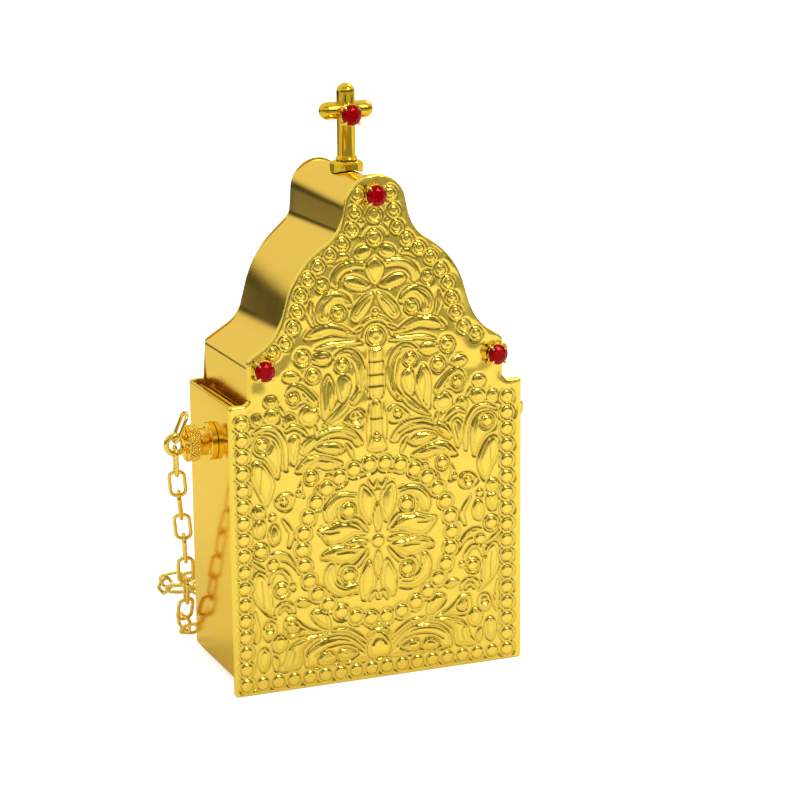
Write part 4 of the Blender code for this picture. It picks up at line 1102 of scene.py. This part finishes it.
for name, centre in stoneSizes["places"].items():
    stoneSetting(name, centre, stoneSizes)
print("stones set")


# Thumb screws

def knobForm(side, sizes):
    # A drum with a diamond knurl round it and rounded edges
    start = sizes["base"] + sizes["sleeveLength"] + fit
    length, radius, edge = sizes["knobLength"], sizes["knob"], sizes["edge"]
    around, teeth, fadeOver, count = sizes["around"], sizes["teeth"], sizes["knurlFade"], sizes["knurlRings"]
    body = length - 2 * edge
    stations = [(start + edge * (1 - cosine), radius - edge * (1 - sine)) for sine, cosine in quarter(4)]
    stations += [(start + edge + body * (k + 1) / count, radius) for k in range(count)]
    stations += [
        (start + length - edge * (1 - sine), radius - edge * (1 - cosine)) for sine, cosine in quarter(4)[1:]
    ]
    form = bmesh.new()
    rings = [[form.verts.new((start, 0, 0))]]
    for along, reach in stations:
        here = (along - start) / (math.tau * radius / teeth)
        fade = max(0, min(1, (along - start) / fadeOver, (start + length - along) / fadeOver))
        ring = []
        for k in range(around):
            tooth = k * teeth / around
            ridge = abs(math.sin(math.pi * (tooth + here)) * math.sin(math.pi * (tooth - here)))
            deep = reach - sizes["knurlDepth"] * (1 - ridge ** sizes["knurlPower"]) * fade
            angle = math.tau * k / around
            ring.append(form.verts.new((along, deep * math.cos(angle), deep * math.sin(angle))))
        rings.append(ring)
    rings.append([form.verts.new((start + length, 0, 0))])
    bridge(form, rings)
    place = Matrix.Translation((0, sizes["y"], sizes["z"])) @ Matrix.Diagonal((side, 1, 1, 1))
    bmesh.ops.transform(form, matrix=place, verts=form.verts)
    return form


def eyeForm(centre, radius, wire, around, sides):
    # A ring of round wire, upright and square to the case's side
    form = bmesh.new()
    rings = []
    for i in range(around):
        turn = math.tau * i / around
        ring = []
        for j in range(sides):
            tilt = math.tau * j / sides
            reach = radius + wire * math.cos(tilt)
            spot = Vector((reach * math.cos(turn), wire * math.sin(tilt), reach * math.sin(turn)))
            ring.append(form.verts.new(Vector(centre) + spot))
        rings.append(ring)
    bridge(form, rings, closed=True)
    return form


def thumbScrew(side, name, sizes):
    out, axis = (side, 0, 0), (0, sizes["y"], sizes["z"])
    base, thick, wide, sleeve = sizes["base"], sizes["flangeThick"], sizes["flange"], sizes["sleeve"]
    shank, neck = sizes["shank"], sizes["neck"]
    sleeveEnd = base + sizes["sleeveLength"]
    seat = caseSizes["half"] + sizes["seat"]
    flange = turned((
        (seat, wide - 0.1), (seat + 0.1, wide), (base + thick - 0.2, wide), (base + thick, wide - 0.2),
    ), out, axis, 48)
    collar = turned((
        (base + 0.4, sleeve), (base + thick, sleeve + 0.3), (base + thick + 0.25, sleeve),
        (sleeveEnd - 0.25, sleeve), (sleeveEnd, sleeve - 0.25),
    ), out, axis, 48)
    drill = turned(((base - 1, shank + fit), (sleeveEnd + 1, shank + fit)), out, axis, 32)
    flange = combine(combine(flange, collar, "UNION"), drill, "DIFFERENCE")
    addPiece("side_flange_" + name, flange, gilt["screws"], ["screw_flange_" + name], 30)
    tip = boxSizes["half"] + fit
    end = sleeveEnd + fit + sizes["knobLength"]
    shankForm = turned((
        (tip, shank - 0.2), (tip + 0.2, shank), (sleeveEnd + fit + 0.5, shank),
    ), out, axis, 32)
    neckForm = turned((
        (end - 0.5, neck + 0.3), (end, neck + 0.3), (end + 0.15, neck),
        (sizes["reach"] - sizes["eye"], neck - 0.35),
    ), out, axis, 32)
    eye = eyeForm((side * sizes["reach"], sizes["y"], sizes["z"]), sizes["eye"], sizes["eyeWire"], 56, 20)
    screw = knobForm(side, sizes)
    for part in (shankForm, neckForm, eye):
        screw = combine(screw, part, "UNION")
    addPiece("knurled_screw_" + name, screw, gilt["screws"], ["thumb_screw_" + name], 35)


for side, name in ((-1, "left"), (1, "right")):
    thumbScrew(side, name, screwSizes)
print("thumb screws")


# Chain: the solids' route, with a Geometry Nodes link at every place

chainSizes = {
    "length": 8.0, "width": 4.3, "wire": 0.9, "bite": 0.14, "bendSteps": 7, "wireSides": 12,
    "lean": 24.0, "leftRoll": -80.0, "rightRoll": 35.0,
    "spacing": 10.0, "runs": 5, "firstY": 45.5, "rightX": 23.5, "leftX": -23.4, "slant": 0.41,
    "loopX": -22.4, "returnX": 33.0,
}


def interlocks(line, pitch):
    # Places along a line, each a pitch or just more from the last
    places = [line[0]]
    for spot in line:
        if (spot - places[-1]).length >= pitch:
            places.append(spot)
    return places


def fittedInterlocks(line, pitch):
    # An odd count of links at nearly the pitch, so that the last one ends where the line does
    tries = [interlocks(line, pitch * (0.97 + 0.001 * k)) for k in range(61)]
    odd = [places for places in tries if len(places) % 2 == 0]
    best = min(odd, key=lambda places: (line[-1] - places[-1]).length)
    return best[:-1] + [line[-1]]


def strandRoute(side, sizes):
    top = screwSizes["z"] - screwSizes["eye"] + screwSizes["eyeWire"] + fit + sizes["bite"]
    return [
        (side * screwSizes["reach"], screwSizes["y"], top), (side * 41.3, 19.9, 49.6),
        (side * 39.6, 23.4, 40.7), (side * 37.5, 27.3, 30.0), (side * 36.3, 30.6, 20.5),
        (side * 35.3, 34.2, 12.5), (side * 34.9, 38.0, 6.4),
    ]


def lyingRoute(sizes):
    # Runs to and fro behind the case, and back along the right side
    floor = (sizes["width"] - sizes["wire"]) / 2 * math.sin(math.pi / 4) + sizes["wire"] * 0.72
    firstY, spacing, runs, back = sizes["firstY"], sizes["spacing"], sizes["runs"], sizes["returnX"]
    route = [(-33.4, 42.0, 3.0), (-29.0, firstY - 0.8, floor)]
    for k in range(runs):
        y = firstY + k * spacing
        left = sizes["loopX"] if k >= runs - 2 else sizes["leftX"] + sizes["slant"] * (y - firstY)
        start, end = left, sizes["rightX"]
        if k % 2:
            start, end = end, start
        route += [(start, y, floor), ((start + end) / 2, y, floor), (end, y, floor)]
        if k < runs - 1:
            route.append((end + math.copysign(spacing / 2 * 0.9, end - start), y + spacing / 2, floor))
    lastY = firstY + (runs - 1) * spacing
    return route + [
        (back - 2, lastY - 3, floor), (back, lastY - 12, floor),
        (back + 0.6, firstY + 8, floor), (back + 0.6, firstY, floor + 0.8),
    ]


def buildLinkTree():
    # Wire links, one on each point, turned by the point's own turn
    tree = bpy.data.node_groups.new("linksOnRoute", "GeometryNodeTree")
    tree.interface.new_socket(name="Places", in_out="INPUT", socket_type="NodeSocketGeometry")
    for name, value in (("Length", 0.008), ("Width", 0.0043), ("Wire", 0.0009)):
        offer(tree, name, "Float", value)
    for name, value in (("Bend Steps", 7), ("Wire Sides", 12)):
        offer(tree, name, "Int", value)
    tree.interface.new_socket(name="Finish", in_out="INPUT", socket_type="NodeSocketMaterial")
    offer(tree, "Links", "Geometry")
    given = grow(tree, "NodeGroupInput").outputs

    def maths(operation, first, second):
        return grow(tree, "ShaderNodeMath", {0: first, 1: second}, operation=operation).outputs[0]

    loopLength = maths("SUBTRACT", given["Length"], given["Wire"])
    loopWidth = maths("SUBTRACT", given["Width"], given["Wire"])
    box = grow(tree, "GeometryNodeCurvePrimitiveQuadrilateral", {"Width": loopLength, "Height": loopWidth})
    bend = grow(tree, "GeometryNodeFilletCurve", {
        "Curve": box.outputs["Curve"], "Count": given["Bend Steps"],
        "Radius": maths("MULTIPLY", loopWidth, 0.46),
    }, mode="POLY")
    wire = grow(tree, "GeometryNodeCurvePrimitiveCircle", {
        "Resolution": given["Wire Sides"], "Radius": maths("MULTIPLY", given["Wire"], 0.5),
    })
    sweep = grow(tree, "GeometryNodeCurveToMesh", {
        "Curve": bend.outputs["Curve"], "Profile Curve": wire.outputs["Curve"],
    })
    soften = grow(tree, "GeometryNodeSetShadeSmooth", {"Geometry": sweep.outputs["Mesh"]})
    turn = grow(tree, "GeometryNodeInputNamedAttribute", {"Name": "turn"}, data_type="QUATERNION")
    place = grow(tree, "GeometryNodeInstanceOnPoints", {
        "Points": given["Places"], "Instance": soften.outputs["Geometry"],
        "Rotation": turn.outputs["Attribute"],
    })
    real = grow(tree, "GeometryNodeRealizeInstances", {"Geometry": place.outputs["Instances"]})
    paint = grow(tree, "GeometryNodeSetMaterial", {
        "Geometry": real.outputs["Geometry"], "Material": given["Finish"],
    })
    grow(tree, "NodeGroupOutput", {"Links": paint.outputs["Geometry"]})
    return tree


linkTree = buildLinkTree()


def linkTurn(start, end, roll):
    along = (end - start).normalized()
    level = along.cross(Vector((0, 0, 1))).normalized()
    lift = level.cross(along)
    across = level * math.cos(roll) + lift * math.sin(roll)
    return Matrix((along, across, along.cross(across))).transposed().to_quaternion()


def layLinks(name, placed, sizes, node):
    # placed holds a start, an end and a roll for each link
    mesh = bpy.data.meshes.new(name)
    mesh.from_pydata([toRow((start + end) / 2) for start, end, roll in placed], [], [])
    turns = mesh.attributes.new("turn", "QUATERNION", "POINT")
    for k, (start, end, roll) in enumerate(placed):
        turns.data[k].value = linkTurn(start, end, roll)
    piece = bpy.data.objects.new(name, mesh)
    keep.objects.link(piece)
    modifier = piece.modifiers.new("links", "NODES")
    modifier.node_group = linkTree
    sockets = {item.name: item.identifier for item in linkTree.interface.items_tree if item.in_out == "INPUT"}
    for socket, value in (
        ("Length", (sizes["length"] - sizes["bite"]) * mm), ("Width", sizes["width"] * mm),
        ("Wire", sizes["wire"] * mm), ("Bend Steps", sizes["bendSteps"]), ("Wire Sides", sizes["wireSides"]),
        ("Finish", gilt["chain"]),
    ):
        modifier[sockets[socket]] = value
    bake(piece)
    declare(piece, [node])


def linked(places, roll):
    # Each link is turned a quarter from the last
    return [(a, b, roll + math.pi / 2 * (k % 2)) for k, (a, b) in enumerate(zip(places, places[1:]))]


def chain(sizes):
    pitch = sizes["length"] - 2 * sizes["wire"]
    lean = math.radians(sizes["lean"])
    eyeTop = screwSizes["z"] + screwSizes["eye"] - screwSizes["eyeWire"] - fit - sizes["bite"]
    ends = []
    for side, name in ((-1, "left"), (1, "right")):
        places = interlocks(bentLine(strandRoute(side, sizes), 0.1), pitch)
        placed = linked(places, math.radians(sizes[name + "Roll"]))
        layLinks("wire_chain_" + name, placed, sizes, "chain_" + name)
        back = (places[-2] - places[-1]).normalized()
        ends.append(places[-1] + back * (fit + sizes["bite"]))
        foot = Vector((side * screwSizes["reach"], screwSizes["y"], eyeTop))
        head = foot + Vector((-side * math.sin(lean), 0, math.cos(lean))) * pitch
        layLinks("eye_wire_link_" + name, [(foot, head, 0.0)], sizes, "eye_link_" + name)
    line = bentLine([ends[0]] + lyingRoute(sizes) + [ends[1]], 0.1)
    layLinks("wire_chain_lying", linked(fittedInterlocks(line, pitch), -math.pi / 4), sizes, "chain_lying")


chain(chainSizes)
print("chain laid")


# Floor, world and lights

# A card is its left and right ends, then its depth and top, or its near and far edges. A light is its place,
# its aim, its size and its power. Stops are places from low to high, each with its brightness.
stageSizes = {
    "floorReach": 12.0, "floorWhite": 0.82, "floorGlow": 0.06, "seenGlow": 0.6,
    "behindCard": (-1.3, 0.6, 0.5, 0.2), "aheadCard": (-1.2, 2.2, -0.36, -1.3), "cardLift": 0.002,
    "aheadWhite": 0.02, "aheadGlow": 0.3, "behindFrom": 0.15, "aheadFrom": -0.25,
    "keyLight": ((0.3, -0.7, 0.75), (0.05, -0.1, 0.0), 0.35, 4.0),
    "rimLight": ((0.7, 0.3, 0.9), (0, 0, 0.06), 0.4, 2.5),
    "behindStops": (
        (0.0, 0.45), (0.1, 0.36), (0.22, 0.22), (0.35, 0.05), (0.5, 0.03), (0.62, 0.09), (0.76, 0.5),
        (1.0, 0.86),
    ),
    "coveStops": (
        (0.0, 0.86), (0.49, 0.86), (0.5, 0.15), (0.545, 0.2), (0.57, 0.86), (0.8, 0.88), (1.0, 1.0),
    ),
    "aheadStops": (
        (0.0, 0.6), (0.5, 0.3), (0.56, 0.12), (0.66, 0.16), (0.72, 0.95), (0.8, 0.95), (0.86, 0.35),
        (1.0, 0.8),
    ),
}


def plane(name, corners, look, seen=True):
    # A sheet of the stage; one that is not seen shows in reflections alone
    mesh = bpy.data.meshes.new(name)
    mesh.from_pydata(corners, [], [(0, 1, 2, 3)])
    mesh.materials.append(look)
    sheet = bpy.data.objects.new(name, mesh)
    keep.objects.link(sheet)
    if not seen:
        sheet.visible_camera = False
        sheet.visible_diffuse = False
        sheet.visible_shadow = False


def stageMaterial(name, white, glow, seenGlow=0.0):
    # A matt sheet that glows a little, and more where the camera sees it directly
    made, tree, shader = newMaterial(name)
    feed(tree, shader, {
        "Base Color": grey(white), "Roughness": 0.9, "Specular IOR Level": 0, "Emission Color": grey(1),
        "Emission Strength": glow,
    })
    if seenGlow:
        path = grow(tree, "ShaderNodeLightPath")
        lift = grow(tree, "ShaderNodeMath", {0: path.outputs["Is Camera Ray"], 1: seenGlow, 2: glow},
                    operation="MULTIPLY_ADD")
        feed(tree, shader, {"Emission Strength": lift.outputs["Value"]})
    return made


def fadingCard(name, top, stops):
    # A card whose glow changes with height
    made, tree, shader = newMaterial(name)
    tree.nodes.remove(shader)
    place = grow(tree, "ShaderNodeTexCoord")
    split = grow(tree, "ShaderNodeSeparateXYZ", {"Vector": place.outputs["Object"]})
    share = grow(tree, "ShaderNodeMath", {0: split.outputs["Z"], 1: top}, operation="DIVIDE")
    ramp = grow(tree, "ShaderNodeValToRGB", {"Fac": share.outputs["Value"]})
    setStops(ramp, [(position, grey(value)) for position, value in stops])
    glow = grow(tree, "ShaderNodeEmission", {"Color": ramp.outputs["Color"]})
    feed(tree, tree.nodes["Material Output"], {"Surface": glow.outputs["Emission"]})
    return made


def softWorld(sizes):
    # Light by height: a dark line at the horizon under a bright cove behind, and duller light ahead
    world = bpy.data.worlds.new("softCove")
    scene.world = world
    world.use_nodes = True
    tree = world.node_tree
    place = grow(tree, "ShaderNodeTexCoord")
    split = grow(tree, "ShaderNodeSeparateXYZ", {"Vector": place.outputs["Generated"]})
    half = grow(tree, "ShaderNodeMath", {0: split.outputs["Z"], 1: 0.5, 2: 0.5}, operation="MULTIPLY_ADD")
    tones = []
    for stops in (sizes["coveStops"], sizes["aheadStops"]):
        ramp = grow(tree, "ShaderNodeValToRGB", {"Fac": half.outputs["Value"]})
        setStops(ramp, [(position, grey(value)) for position, value in stops])
        tones.append(ramp.outputs["Color"])
    facing = grow(tree, "ShaderNodeMapRange", {
        "Value": split.outputs["Y"], "From Min": sizes["behindFrom"], "From Max": sizes["aheadFrom"],
    })
    blend = grow(tree, "ShaderNodeMix", {
        "Factor": facing.outputs["Result"], "A": tones[0], "B": tones[1],
    }, data_type="RGBA")
    feed(tree, tree.nodes["Background"], {"Color": blend.outputs["Result"], "Strength": 1.0})


def softLight(name, spot, aim, size, watts):
    data = bpy.data.lights.new(name, "AREA")
    data.size = size
    data.energy = watts
    lamp = bpy.data.objects.new(name, data)
    keep.objects.link(lamp)
    lamp.location = spot
    lamp.rotation_euler = (Vector(aim) - Vector(spot)).to_track_quat("-Z", "Y").to_euler()


def stage(sizes):
    reach = sizes["floorReach"]
    floorZ = rowShift.z * mm
    corners = [(-reach, -reach), (reach, -reach), (reach, reach), (-reach, reach)]
    look = stageMaterial("paleFloor", sizes["floorWhite"], sizes["floorGlow"], sizes["seenGlow"])
    plane("pale_floor", [(x, y, floorZ) for x, y in corners], look)
    left, right, y, top = sizes["behindCard"]
    corners = [(left, y, floorZ), (right, y, floorZ), (right, y, top), (left, y, top)]
    plane("behind_card", corners, fadingCard("behindCard", top, sizes["behindStops"]), seen=False)
    left, right, near, far = sizes["aheadCard"]
    z = floorZ + sizes["cardLift"]
    corners = [(left, far, z), (right, far, z), (right, near, z), (left, near, z)]
    look = stageMaterial("aheadCard", sizes["aheadWhite"], sizes["aheadGlow"])
    plane("ahead_card", corners, look, seen=False)
    softWorld(sizes)
    for name in ("keyLight", "rimLight"):
        softLight(name, *sizes[name])
    scene.view_settings.view_transform = "Standard"


stage(stageSizes)
print("stage and light")
